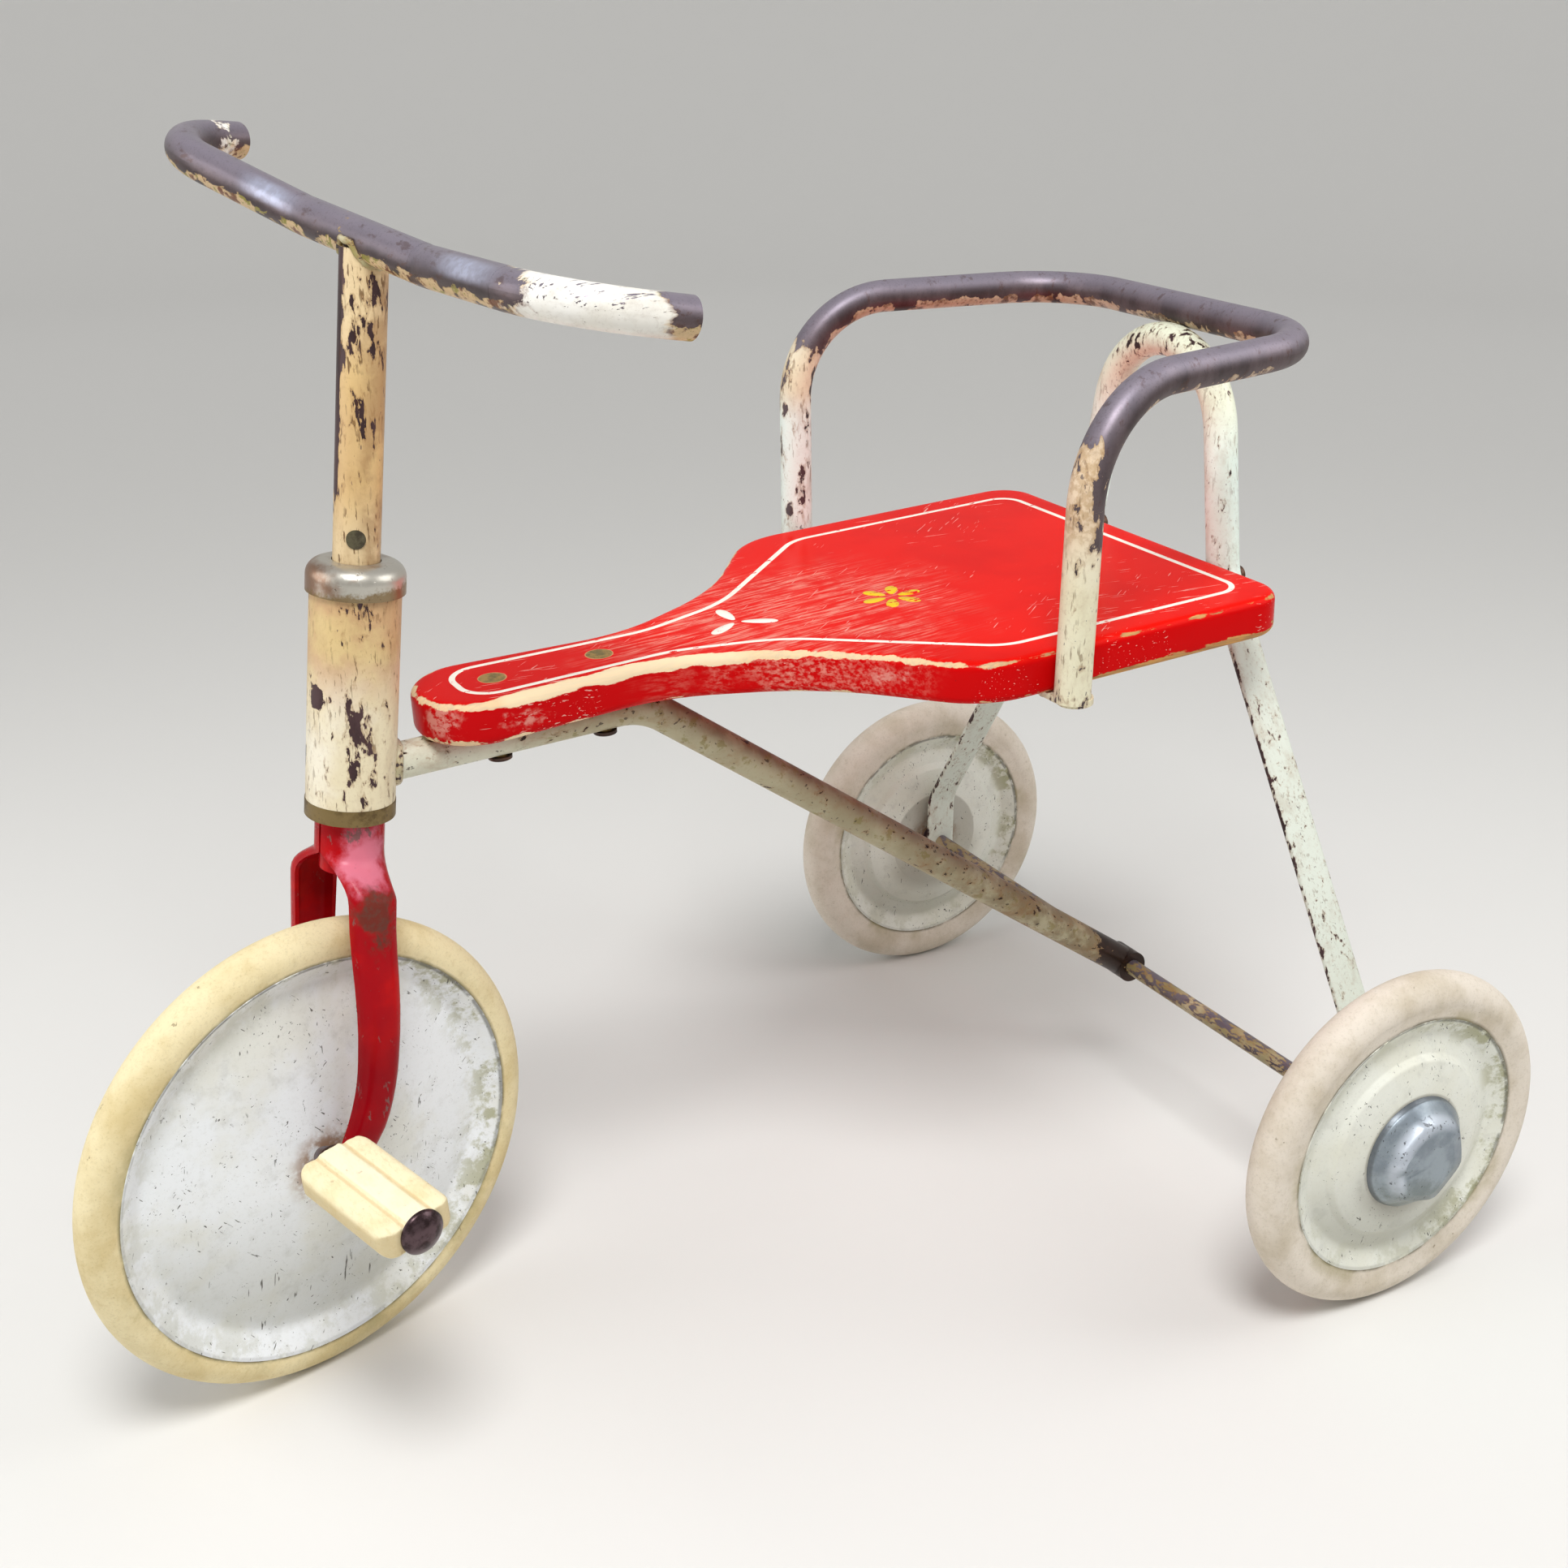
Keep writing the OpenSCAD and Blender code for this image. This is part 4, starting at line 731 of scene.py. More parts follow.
def petal_mesh(size, long_share, wide_share, gap):
    """A flat petal along X that starts at gap, in millimetres."""
    long, wide = size * long_share, size * wide_share
    count = 20
    rings = []
    for z, grow in ((0.0, 1.0), (MOTIF_THICK, 0.96)):
        ring = []
        for i in range(count):
            a = 2 * math.pi * i / count
            along = (1 - math.cos(a)) / 2
            ring.append((gap + long * (0.5 + (along - 0.5) * grow),
                         wide / 2 * math.sin(a) * (0.6 + 0.4 * along) * grow, z))
        rings.append(ring)
    return rings_mesh("petal", rings)


def add_film(name, mesh, mat, *places):
    """Lays a flat mesh on the seat, moved by the places first."""
    for place in (*places, seat_matrix()):
        mesh.transform(place)
    add_piece(name, mesh, "frame", "seat_red", mat)


class TRIKE_OT_seat(bpy.types.Operator):
    """Build the seat board, its stripe and its plain motif"""
    bl_idname = "trike.seat"
    bl_label = "Seat"

    def execute(self, context):
        tints, sizes = context.scene.trike_paint, context.scene.trike_sizes
        add_piece("seat_wood", seat_mesh(sizes), "frame", "seat_red", seat_finish(tints),
                  "seat_board")
        white = film_finish("stripe_paint", tints.stripe_white, tints.seat_red)
        yellow = film_finish("motif_paint", tints.motif_yellow, tints.seat_red, 0.56, 4)
        line = loop_mesh("stripe", [(v.x, v.y, 0.0) for v in
                                    seat_line(STRIPE_CORNERS, STRIPE_RADII, 0.0, 14)])
        stripe = grown("seat_stripe", line, swept_tree(), Width=sizes.stripe_wide / MM,
                       Height=sizes.stripe_thick / MM, Material=white)
        add_film("seat_stripe", stripe, white)
        size, tree = sizes.motif_wide / MM, ring_tree()
        flower = grown("seat_flower", petal_mesh(size, *PETAL), tree,
                       Count=sizes.motif_petals, Material=yellow)
        add_film("seat_flower", flower, yellow, Matrix.Translation(FLOWER_PLACE))
        leaves = grown("seat_leaves", petal_mesh(size, *LEAF), tree,
                       Count=LEAVES_COUNT, Material=white)
        add_film("seat_leaves", leaves, white, Matrix.Translation(LEAVES_PLACE)
                 @ Matrix.Rotation(LEAVES_TURN, 4, "Z"))
        return {"FINISHED"}


# Frame tubes

# places of the bar's two painted highlights
BAR_GLINTS = ((392, -46, 482), (364, 78, 470))
BAR_GLINT_WAY = (0.72, 0.18, 0.67)
IMAGE_LEFT = (0.873, -0.4875, 0.0)
IMAGE_RIGHT = (-0.873, 0.4875, 0.0)
BAR_HEIGHT = 368.7
BAR_LEAN = 5.7
BACKBONE_DEPTH = 25.75
# radius of the tube a weld goes round, and of the surface it lies on
HEAD_WELD = (7.4, 17.9)
STEM_WELD = (8.6, 7.6)
# width of the stem's bead as a share of the head's
STEM_BEAD = 0.6
WELD_LUMPS = {"Lumps": 2.2 * MM, "Lump_size": 4 * MM}
# chips: steered place, radius, soft edge, squeeze, tear and weight
HEAD_CHIPS = (
    ((7.7, 15.7, 182), 1, 9, (1, 1, 0.5), (22, 5, 66, (1, 1, 0.35)), 0.125),
    ((10.4, 14.1, 194), 1, 8, (1, 1, 0.45), (16, 4, 67, (1, 1, 0.3)), 0.10),
    ((4.1, 17.0, 192), 0.5, 7, (1, 1, 0.4), (14, 4, 68, (1, 1, 0.3)), 0.09),
    ((8.5, 15.2, 236), 1, 9, (1, 1, 0.6), (14, 4, 69, (1, 1, 0.3)), 0.12),
    ((5, 17, 162), 2, 12, (0.8, 0.8, 0.8), (20, 4, 70), 0.06),
)
HEAD_EDGE = ((17.4, 1.4, 199), 2.5, 3, (1, 1, 0.8), (9, 4, 75), 0.34)
STEM_CHIPS = (
    ((4, 8, 340), 3, 14, (0.8, 0.8, 0.6), (26, 5, 72, (1, 1, 0.4)), 0.13),
    ((3.7, 8.2, 306), 0.5, 6, (1, 1, 0.35), (12, 4, 73, (1, 1, 0.3)), 0.16),
)


def tube_wear(f):
    """Bare steel on top of the rail, enamel left beneath it and down the legs."""
    rail = f.along(Z, 0.386, 0.401)
    under = f.times(rail, f.upward(0.10, -0.66),
                    f.blend(f.patches(0.42, 0.54, 17, 3, 0.6, 107), 0.55, 1.1))
    strip = f.times(f.along(Z, 0.334, 0.352), f.along(Y, 0.02, 0.06),
                    f.step(f.facing(IMAGE_RIGHT), -0.1, 0.55))
    broad = f.minus(f.noise(24, 3, 0.55, 93, f.stretched((1, 1, 0.4))), 0.5)
    return f.weighed((rail, 0.34), (under, -0.40), (f.along(Z, 0.350, 0.376), 0.075),
                     (strip, 0.17), (broad, 0.22))


def arm_tint(f, body):
    """Tan and rusty remnants under the rail, greenish cream on the near leg."""
    remnant = f.mix(f.patches(0.47, 0.6, 7, 4, 0.6, 94), shade(198, 180, 152),
                    shade(106, 82, 64))
    near = f.times(f.along(Y, -0.02, 0.02), f.along(Z, 0.352, 0.32))
    body = f.over(body, near, 0.75, shade(224, 220, 190))
    bend = f.times(f.along(Y, -0.02, 0.02), f.along(Z, 0.338, 0.36))
    tan = f.mix(f.patches(0.42, 0.56, 4, 4, 0.6, 99), shade(196, 164, 126),
                shade(226, 202, 172))
    body = f.over(body, bend, 0.85, tan)
    far = f.times(f.along(Y, 0.02, -0.02), f.along(Z, 0.372, 0.352))
    body = f.over(body, far, 0.8, shade(228, 246, 242))
    return f.mix(f.along(Z, 0.382, 0.398), body, remnant)


def grip_patches(f):
    """The white patches that are left on the two grips."""
    return f.most(f.spot(spot_at(339, 131, 461), 20, 5, (1, 0.5, 0.5), 30, 7, 95, (0.2, 1, 1)),
                  f.spot(spot_at(386.5, -138.5, 493), 6.5, 3, (1, 1, 1), 12, 5, 96))


def bar_wear(f):
    """Bare steel along the bar, enamel beneath it and in a patch on each grip."""
    under = f.times(f.upward(0.22, -0.62),
                    f.blend(f.patches(0.40, 0.5, 20, 2, 0.5, 100), 0.62, 1.12))
    streaks = f.patches(0.56, 0.62, 1.1, 4, 0.6, 97, f.stretched((0.09, 1, 1)))
    patch = f.times(grip_patches(f), f.blend(streaks, -0.6, -0.16))
    return f.plus(f.times(under, -0.38), patch, f.times(f.noise(22, 2, 0.5, 104), 0.66))


def bar_painted_glints(f):
    """Two painted bluish highlights on the bar's top, on the faces turned to the glint
    direction.
    """
    glints = [f.near(spot_at(*place), 1, 11, (1, 0.42, 1)) for place in BAR_GLINTS]
    return f.times(f.plus(*glints), f.step(f.facing(BAR_GLINT_WAY), 0.72, 0.97),
                   f.blend(f.patches(0.4, 0.6, 3, 4, 0.6, 105), 0.7, 1.0))


def bar_tint(f, body):
    """Cream, yellow green and brown remnants under the bar, white on the grips."""
    spread = f.noise(6, 5, 0.62, 98)
    remnant = f.mix(f.step(spread, 0.42, 0.48), shade(112, 66, 42), shade(206, 178, 136))
    remnant = f.mix(f.step(spread, 0.54, 0.58), remnant, shade(142, 134, 60))
    return f.mix(grip_patches(f), remnant, body)


def chipped(f, rows):
    """Spots at steered places, each with its weight."""
    return [(f.spot(steered_at(*place), radius, soft, squeeze, *tear), weight)
            for place, radius, soft, squeeze, tear, weight in rows]


def head_wear(f):
    """A cluster of chips low on the front and a rubbed strip on one side."""
    side = f.times(f.step(f.facing(IMAGE_LEFT), 0.84, 0.96),
                   f.patches(0.44, 0.56, 24, 2, 0.5, 77))
    return f.weighed(*chipped(f, HEAD_CHIPS), (side, 0.20), *chipped(f, [HEAD_EDGE]))


def head_tint(f, body):
    """Tan and pinkish under the cap, whiter towards the fork."""
    warm = f.mix(f.patches(0.42, 0.6, 22, 4, 0.6, 71), shade(212, 184, 126),
                 shade(198, 158, 112))
    return f.over(body, f.along(Z, steered_z(186), steered_z(222)), 0.92, warm)


def stem_wear(f):
    """Larger chips near the bar and a bare strip on one side."""
    side = f.times(f.step(f.facing(IMAGE_LEFT), 0.56, 0.8),
                   f.along(Z, steered_z(258), steered_z(290)))
    return f.weighed(*chipped(f, STEM_CHIPS), (side, 0.3))


def stem_tint(f, body):
    """Paler close to the bar and near the head cap; painted shade in brown patches on the side
    facing the image's right.
    """
    ends = f.most(f.along(Z, steered_z(318), steered_z(345)),
                  f.along(Z, steered_z(282), steered_z(256)))
    body = f.over(body, ends, 0.7, shade(228, 208, 168))
    # painted shade: brown patches on the side facing the image's right
    right = f.times(f.step(f.facing(IMAGE_RIGHT), 0.05, 0.65),
                    f.patches(0.36, 0.56, 14, 4, 0.6, 76))
    return f.over(body, right, 0.7, shade(164, 130, 90))


def backbone_wear(f):
    """Rust at the eye on the axle and brown rubbing on top."""
    rear = f.step(f.plus(f.part(f.here, X), f.torn(16, 6, 74)), ahead(30), ahead(12))
    return f.weighed((rear, 0.3), (f.upward(0.4, 0.95), 0.07))


def backbone_tint(f, body):
    """Grey brown dust on top and a yellow green cast in patches."""
    top = f.times(f.upward(0.0, 0.8), f.patches(0.32, 0.58, 14, 4, 0.6, 78))
    body = f.over(body, top, 0.8, shade(122, 100, 80))
    body = f.over(body, f.patches(0.56, 0.62, 6, 5, 0.65, 79), 0.6, shade(132, 122, 58))
    low = f.times(f.along(X, ahead(170), ahead(50)), f.patches(0.38, 0.56, 9, 5, 0.6, 80))
    body = f.over(body, low, 0.7, shade(120, 100, 70))
    return f.over(body, f.along(X, ahead(300), ahead(350)), 0.8, shade(224, 226, 208))


def hoop_wear(f):
    """Dark chips over the hoop's arch and along the struts' edges."""
    edge = f.times(f.step(f.math("ABSOLUTE", f.part(f.normal, X)), 0.5, 0.95),
                   f.along(Z, 0.285, 0.262))
    return f.weighed((f.along(Z, 0.376, 0.395), 0.085), (edge, 0.13),
                     (f.along(Z, 0.29, 0.27), 0.02))


def hoop_tint(f, body):
    """Cream over the arch, greenish white on the struts."""
    body = f.over(body, f.along(Z, 0.350, 0.382), 0.7, shade(228, 226, 196))
    return f.over(body, f.along(Z, 0.30, 0.27), 0.85, shade(208, 212, 200))


def axle_wear(f):
    """Mostly bare, with remnants of paint on the underside."""
    return f.blend(f.upward(0.1, -0.6), 0.035, -0.03)


def on_cylinder(start, way, foot, axis, radius):
    """The first point along a ray that lies on a cylinder."""
    away = start - foot
    a = way - axis * way.dot(axis)
    b = away - axis * away.dot(axis)
    qa, qb, qc = a.dot(a), 2 * a.dot(b), b.dot(b) - radius * radius
    root = math.sqrt(max(0.0, qb * qb - 4 * qa * qc))
    return start + way * ((-qb - root) / (2 * qa))


def weld_line(centre, way, foot, axis, radii):
    """Where a tube that points along way meets a cylinder, as a closed line."""
    small, big = (radius * MM for radius in radii)
    side = way.orthogonal().normalized()
    other = way.cross(side)
    count = 40
    points = []
    for i in range(count):
        a = 2 * math.pi * i / count
        start = centre + (side * math.cos(a) + other * math.sin(a)) * small
        points.append(on_cylinder(start, way, foot, axis, big))
    return points


def head_weld_line():
    foot, axis = joint_line("steering_turn")
    start = seat_point(240, 0, -BACKBONE_DEPTH)
    way = (seat_point(300, 0, -BACKBONE_DEPTH) - start).normalized()
    return weld_line(start, way, foot, axis.normalized(), HEAD_WELD)


def stem_weld_line():
    turned = STEERED.to_3x3()
    axis = turned @ Vector((0, 1, -math.tan(math.radians(BAR_LEAN)))).normalized()
    way = (turned @ Vector((0, 0, 1))).normalized()
    return weld_line(steered_at(0, 0, 330), way, steered_at(0, 0, BAR_HEIGHT), axis,
                     STEM_WELD)


class TRIKE_OT_tubes(bpy.types.Operator):
    """Paint the frame tubes, the handlebar and its stem, and lay their welds"""
    bl_idname = "trike.tubes"
    bl_label = "Tubes and welds"

    def execute(self, context):
        tints, wide = context.scene.trike_paint, context.scene.trike_sizes.weld_wide
        pale, steel, rust = tints.cream_pale, tints.bare_steel, tints.rust
        chip = shade(84, 62, 64)
        paint(enamel("head_enamel", pale, shade(226, 214, 182), chip, rust, 0.66, 3.0,
                     head_wear, (1, 1, 0.4), 0.34, 0.68, seed=3, tint=head_tint, cracks=0.7),
              "head_tube")
        paint(enamel("stem_enamel", shade(214, 182, 126), shade(206, 172, 122), chip, rust,
                     0.65, 3.2, stem_wear, (1, 1, 0.32), 0.36, 0.68, seed=8, tint=stem_tint,
                     cracks=0.9), "handlebar_stem")
        paint(enamel("backbone_enamel", shade(184, 176, 146), shade(164, 154, 124),
                     tints.dark_brown, rust, 0.64, 3.4, backbone_wear, (0.5, 1, 0.7), 0.5,
                     0.63, 0.46, 12, backbone_tint), "backbone_tube")
        paint(enamel("axle_enamel", shade(172, 158, 128), shade(132, 120, 80), steel, rust,
                     0.545, 2.6, axle_wear, (1, 0.4, 1), 0.4, 0.62, seed=15, painted_shine=0.3),
              "rear_axle")
        paint(enamel("armrest_enamel", shade(226, 214, 184), pale, steel, rust, 0.635, 4.2,
                     tube_wear, (0.8, 0.8, 0.36), 0.36, 0.66, 0.34, 17, arm_tint, 0.6, 0.6,
                     0.36), "armrest")
        paint(enamel("bar_enamel", shade(240, 238, 232), shade(232, 228, 218), steel,
                     shade(120, 92, 60), 0.6, 4.0, bar_wear, (0.7, 0.5, 1), 0.3, 0.7, 0.34, 23,
                     bar_tint, 0.62, painted_glints=bar_painted_glints), "handlebar")
        hoop = enamel("hoop_enamel", shade(240, 254, 246), shade(230, 244, 232), chip, rust,
                      0.65, 3.0, hoop_wear, (1, 1, 0.5), 0.3, 0.665, 0.38, 29, hoop_tint,
                      cracks=0.4)
        smooth_copy("rear_hoop", "hoop", "frame", "hoop_paint", hoop)
        weld = enamel("weld_enamel", shade(214, 206, 180), shade(150, 138, 82), steel, rust,
                      0.56, 4, seed=31)
        tree = swept_tree()
        for name, line, body, bead, seed in (
                ("head_weld", head_weld_line(), "frame", wide, 1.0),
                ("stem_weld", stem_weld_line(), "steering", STEM_BEAD * wide, 4.0)):
            mesh = grown(name, loop_mesh(name + "_line", line), tree, Width=bead,
                         Height=bead, Seed=seed, Material=weld, **WELD_LUMPS)
            add_piece(name, mesh, body, "cream_paint", weld)
        return {"FINISHED"}


# Fork


def fork_finish(tints):
    """Red gloss with scuffs at the neck, a worn patch below the bend, a painted highlight on the
    shoulder and painted shade towards the feet.
    """
    f = Finish("fork_gloss_red")
    fine = f.noise(4, 6, 0.65, 42, f.stretched((1, 1, 0.5)))
    patch = f.spot(steered_at(5, 28, 115), 5, 6, (1, 0.6, 0.9), 20, 7, 46)
    drip = f.spot(steered_at(3, 28, 106), 1, 6, (1, 0.6, 0.6), 14, 5, 47)
    painted_shoulder_glint = f.spot(steered_at(3, 17, 133), 6, 9, (1, 1, 0.9), 24, 8, 49)
    body = f.over(tints.fork_red, f.patches(0.4, 0.7, 20, 4, 0.6, 41), 0.4, tints.seat_red)
    # painted shade: the blades darker towards their feet
    body = f.over(body, f.along(Z, steered_z(78), steered_z(44)), 0.7, shade(132, 8, 20))
    neck = f.along(Z, steered_z(136), steered_z(150))
    worn = f.step(f.plus(fine, f.times(neck, 0.07)), 0.62, 0.68)
    specks = f.patches(0.70, 0.73, 1.8, 3, 0.6, 44)
    edge = f.patches(0.64, 0.67, 5, 5, 0.62, 45, f.stretched((1, 1, 0.3)))
    dark = f.mix(f.step(fine, 0.46, 0.58), shade(92, 44, 42), shade(118, 96, 92))
    brown = f.mix(f.patches(0.44, 0.6, 2.4, 5, 0.66, 48), shade(96, 50, 40),
                  shade(80, 62, 52))
    # painted highlight: pinkish white on the shoulder at the neck
    body = f.over(body, painted_shoulder_glint, 0.7, shade(226, 138, 160))
    worn = f.most(f.times(worn, 0.8), f.most(f.times(specks, 0.6), f.times(edge, 0.25)))
    body = f.mix(worn, body, dark)
    gone = f.most(patch, f.times(drip, f.step(fine, 0.45, 0.55)))
    f.set(Base_Color=f.over(body, gone, 0.86, brown),
          Roughness=f.blend(f.most(worn, gone), 0.2, 0.52),
          Specular_IOR_Level=0.06, Coat_Weight=0.04, Coat_Roughness=0.08)
    f.bump(f.minus(f.times(fine, 0.25), worn), 0.2, 0.6)
    return f.mat


class TRIKE_OT_fork(bpy.types.Operator):
    """Finish the pressed fork blades and the crown in red enamel"""
    bl_idname = "trike.fork"
    bl_label = "Fork"

    def execute(self, context):
        red = fork_finish(context.scene.trike_paint)
        for side in SIDES:
            smooth_copy("fork_blade_" + side, "blade_" + side, "steering", "fork_red", red)
        paint(red, "crown_collar")
        return {"FINISHED"}


# Wheels

FRONT_LIP, FRONT_HUB = 90, 11
REAR_LIP, REAR_HUB = 61, 9
# dark strokes on a disc: length, width, angles, cut and seed
DISC_STROKES = ((8, 1.0, (10, 35, 40), 0.665, 5), (6, 0.9, (70, -50, 20), 0.67, 7),
                (11, 1.2, (20, 80, -60), 0.67, 9), (5, 0.9, (-35, 5, 75), 0.67, 13))
DISC_SHADE_WAY = (0.25, 0.0, -0.97)
DISC_RIGHT_WAY = (-0.7, 0.4, 0.1)
DISC_LIP_SHADE_WAY = (-0.5, 0.25, 0.8)
CAP_GLINT_WAY = (0.62, 0.1, 0.78)
# height over the disc from which a cap's presswork is rounded, and how many times
CAP_SOFT = (2.0, 3)


def disc_finish(name, tints, white, place, axis, lip, hub, seed, cap=0.0):
    """White enamel with dark strokes, rust round the hub, a dark line at the lip that is grime
    darkened towards the top as painted shade, painted shade over the lower part, and a painted
    shadow below a hub cap.
    """
    f = Finish(name)
    away = f.round_axis(place, axis)
    out = f.vector("SUBTRACT", f.here, place)
    reach = lip * MM
    mottle = f.noise(9, 5, 0.65, seed + 1)
    body = f.over(white, f.patches(0.42, 0.66, 40, 4, 0.6, seed), 0.5, tints.disc_shade)
    body = f.over(body, f.step(mottle, 0.5, 0.72), 0.3, (0.42, 0.42, 0.38))
    body = f.over(body, f.patches(0.52, 0.72, 1.4, 4, 0.7, seed + 2), 0.16,
                  (0.30, 0.29, 0.24))
    # painted shade: the disc's lower part darker, inside the lip
    painted_low_shade = f.times(f.step(f.dot(out, DISC_SHADE_WAY), 0.1 * reach, 0.7 * reach),
                    f.step(away, 0.92 * lip, 0.82 * lip))
    body = f.over(body, painted_low_shade, 0.42, shade(150, 150, 136))
    # yellow green grime in patches towards the lip, stronger on the right
    right = f.step(f.dot(out, DISC_RIGHT_WAY), 0.0, 0.6 * reach)
    high = f.step(f.dot(out, DISC_LIP_SHADE_WAY), -0.2 * reach, 0.5 * reach)
    grime = f.times(f.step(away, lip - 0.24 * lip, lip - 2),
                    f.patches(0.47, 0.57, 15, 6, 0.66, seed + 4))
    body = f.over(body, grime, f.blend(right, 0.25, 0.75), (0.30, 0.29, 0.12))
    # a dark broken line on the lip: grime in the joint, darkest towards the top as painted shade
    line = f.times(f.step(away, lip - 1.5, lip - 0.5),
                   f.times(f.patches(0.36, 0.5, 7, 4, 0.6, seed + 6),
                           f.blend(high, 0.35, 1.0)))
    centre = f.times(f.step(away, hub + 11, hub), f.step(mottle, 0.36, 0.56))
    body = f.over(body, centre, 0.85, tints.rust)
    if cap:
        # grime in a thin ring round the hub cap, and a painted shadow of the cap spreading below
        # it
        below = f.step(f.part(out, Z), 0.4 * cap * MM, -0.9 * cap * MM)
        cap_grime_and_shadow = f.math("ADD", f.step(away, cap + 1.6, cap + 0.2),
                         f.times(f.step(away, cap + 11, cap), below), clamp=True)
        body = f.over(body, cap_grime_and_shadow, 0.42, shade(104, 92, 74))
    lines = f.plus(*(f.strokes(long, thin, angles, cut, seed + more, 0.54)
                     for long, thin, angles, cut, more in DISC_STROKES))
    blots = f.times(f.patches(0.66, 0.70, 2.4, 4, 0.66, seed + 11),
                    f.patches(0.5, 0.6, 22, 3, 0.6, seed + 12))
    dark = f.math("MINIMUM", f.plus(lines, blots, f.times(line, 0.75)), 1.0)
    f.set(Base_Color=f.over(body, dark, 0.85, shade(58, 52, 42)),
          Roughness=f.blend(mottle, 0.3, 0.5), Specular_IOR_Level=0.4)
    f.bump(f.minus(f.times(mottle, 0.3), dark), 0.22, 0.6)
    return f.mat


def tyre_finish(name, tint, dirt, place, axis, lip, seed):
    """Old solid rubber: mottled, with nicks and dirt where it meets the disc."""
    f = Finish(name)
    away = f.round_axis(place, axis)
    fine = f.noise(3.2, 5, 0.7, seed + 1)
    dust = f.noise(1.1, 4, 0.75, seed + 5)
    body = f.over(tint, f.patches(0.4, 0.68, 30, 4, 0.6, seed), 0.6, dirt)
    body = f.over(body, f.step(fine, 0.5, 0.72), 0.3, dirt)
    body = f.over(body, f.step(dust, 0.5, 0.7), 0.25, darker(dirt, 0.6))
    seam = f.times(f.step(away, lip + 2.2, lip + 0.2),
                   f.patches(0.34, 0.56, 14, 4, 0.6, seed + 2))
    body = f.over(body, seam, 0.85, (0.10, 0.085, 0.04))
    stain = f.times(f.step(away, lip + 9, lip + 1),
                    f.patches(0.5, 0.66, 26, 4, 0.6, seed + 6))
    body = f.over(body, stain, 0.5, (0.34, 0.29, 0.13))
    nicks = f.patches(0.685, 0.70, 4, 5, 0.6, seed + 3)
    f.set(Base_Color=f.over(body, nicks, 0.6, (0.25, 0.18, 0.10)),
          Roughness=f.blend(fine, 0.56, 0.76), Specular_IOR_Level=0.3)
    f.bump(f.minus(f.weighed((fine, 0.5), (dust, 0.25)), nicks), 0.35, 0.7)
    return f.mat


def cap_finish(side, tints, place, axis, radius):
    """Blue grey paint with dents, scratches, a greenish cast low down and a painted highlight
    band on the shoulder.
    """
    f = Finish(side + "_cap_paint")
    away = f.round_axis(place, axis)
    cloud = f.noise(12, 5, 0.65, 91)
    body = f.over(tints.cap_blue, f.step(cloud, 0.42, 0.66), 0.6, shade(104, 114, 124))
    low = f.times(f.along(Z, 0.084, 0.066), f.step(cloud, 0.36, 0.56))
    body = f.over(body, low, 0.5, shade(112, 120, 108))
    worn = f.patches(0.655, 0.68, 2.5, 4, 0.6, 92)
    lines = f.strokes(7, 0.8, (20, 40, 30), 0.66, 93, 0.52)
    shoulder = f.times(f.step(away, 0.55 * radius, 0.66 * radius),
                       f.step(away, 0.86 * radius, 0.74 * radius))
    dents = f.times(shoulder, f.patches(0.6, 0.64, 3.2, 4, 0.6, 106))
    rim = f.times(f.step(away, radius - 1.2, radius - 0.4), 0.7)
    # painted highlight: a pale band on the shoulder where it faces up
    band = f.times(shoulder, f.step(f.facing(CAP_GLINT_WAY), 0.0, 0.6))
    body = f.over(body, band, 0.65, shade(212, 219, 230))
    dark = f.most(worn, lines, f.most(dents, rim))
    f.set(Base_Color=f.over(body, dark, 0.75, shade(52, 50, 52)),
          Roughness=f.blend(cloud, 0.24, 0.42), Metallic=0.45)
    f.bump(f.minus(f.times(cloud, 0.5), dark), 0.35, 0.7)
    return f.mat


def soften(mesh, place, axis, above, times):
    """Rounds the pressed edges that lie more than above millimetres over the disc."""
    with edited(mesh) as bm:
        heights = [abs((v.co - place).dot(axis)) for v in bm.verts]
        free = [v for v, height in zip(bm.verts, heights)
                if height > min(heights) + above * MM]
        for _ in range(times):
            bmesh.ops.smooth_vert(bm, verts=free, factor=0.5, use_axis_x=True,
                                  use_axis_y=True, use_axis_z=True)


class TRIKE_OT_wheels(bpy.types.Operator):
    """Finish the discs, tyres and hub caps of the three wheels"""
    bl_idname = "trike.wheels"
    bl_label = "Wheels"

    def execute(self, context):
        tints = context.scene.trike_paint
        spin = joint_line("front_wheel_spin")
        paint(disc_finish("front_disc_enamel", tints, tints.disc_white, *spin, FRONT_LIP,
                          FRONT_HUB, 51), "front_disc_left", "front_disc_right")
        paint(tyre_finish("front_rubber", tints.front_rubber, shade(196, 172, 112), *spin,
                          FRONT_LIP, 61), "front_tyre")
        for side in SIDES:
            spin = joint_line(side + "_rear_spin")
            low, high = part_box(side + "_hubcap")
            cap_radius = (high.z - low.z) / 2 / MM
            paint(disc_finish(side + "_disc_enamel", tints, shade(227, 228, 218), *spin,
                              REAR_LIP, REAR_HUB, 71, cap_radius),
                  side + "_outer_disc", side + "_inner_disc")
            paint(tyre_finish(side + "_rubber", tints.rear_rubber, shade(186, 172, 146),
                              *spin, REAR_LIP, 81), side + "_tyre")
            cap = smooth_copy(side + "_hubcap", side + "_cap", side + "_rear_wheel",
                              "cap_grey", cap_finish(side, tints, *spin, cap_radius), 60.0)
            soften(cap.data, *spin, *CAP_SOFT)
        return {"FINISHED"}


# Pedals and small metal

PEDAL_UP = Vector((0.11, 0.06, 0.99)).normalized()
BAND_HALF = 5.0
BLOCK_VOXEL = 0.7 * MM
BLOCK_ROUNDS = 9


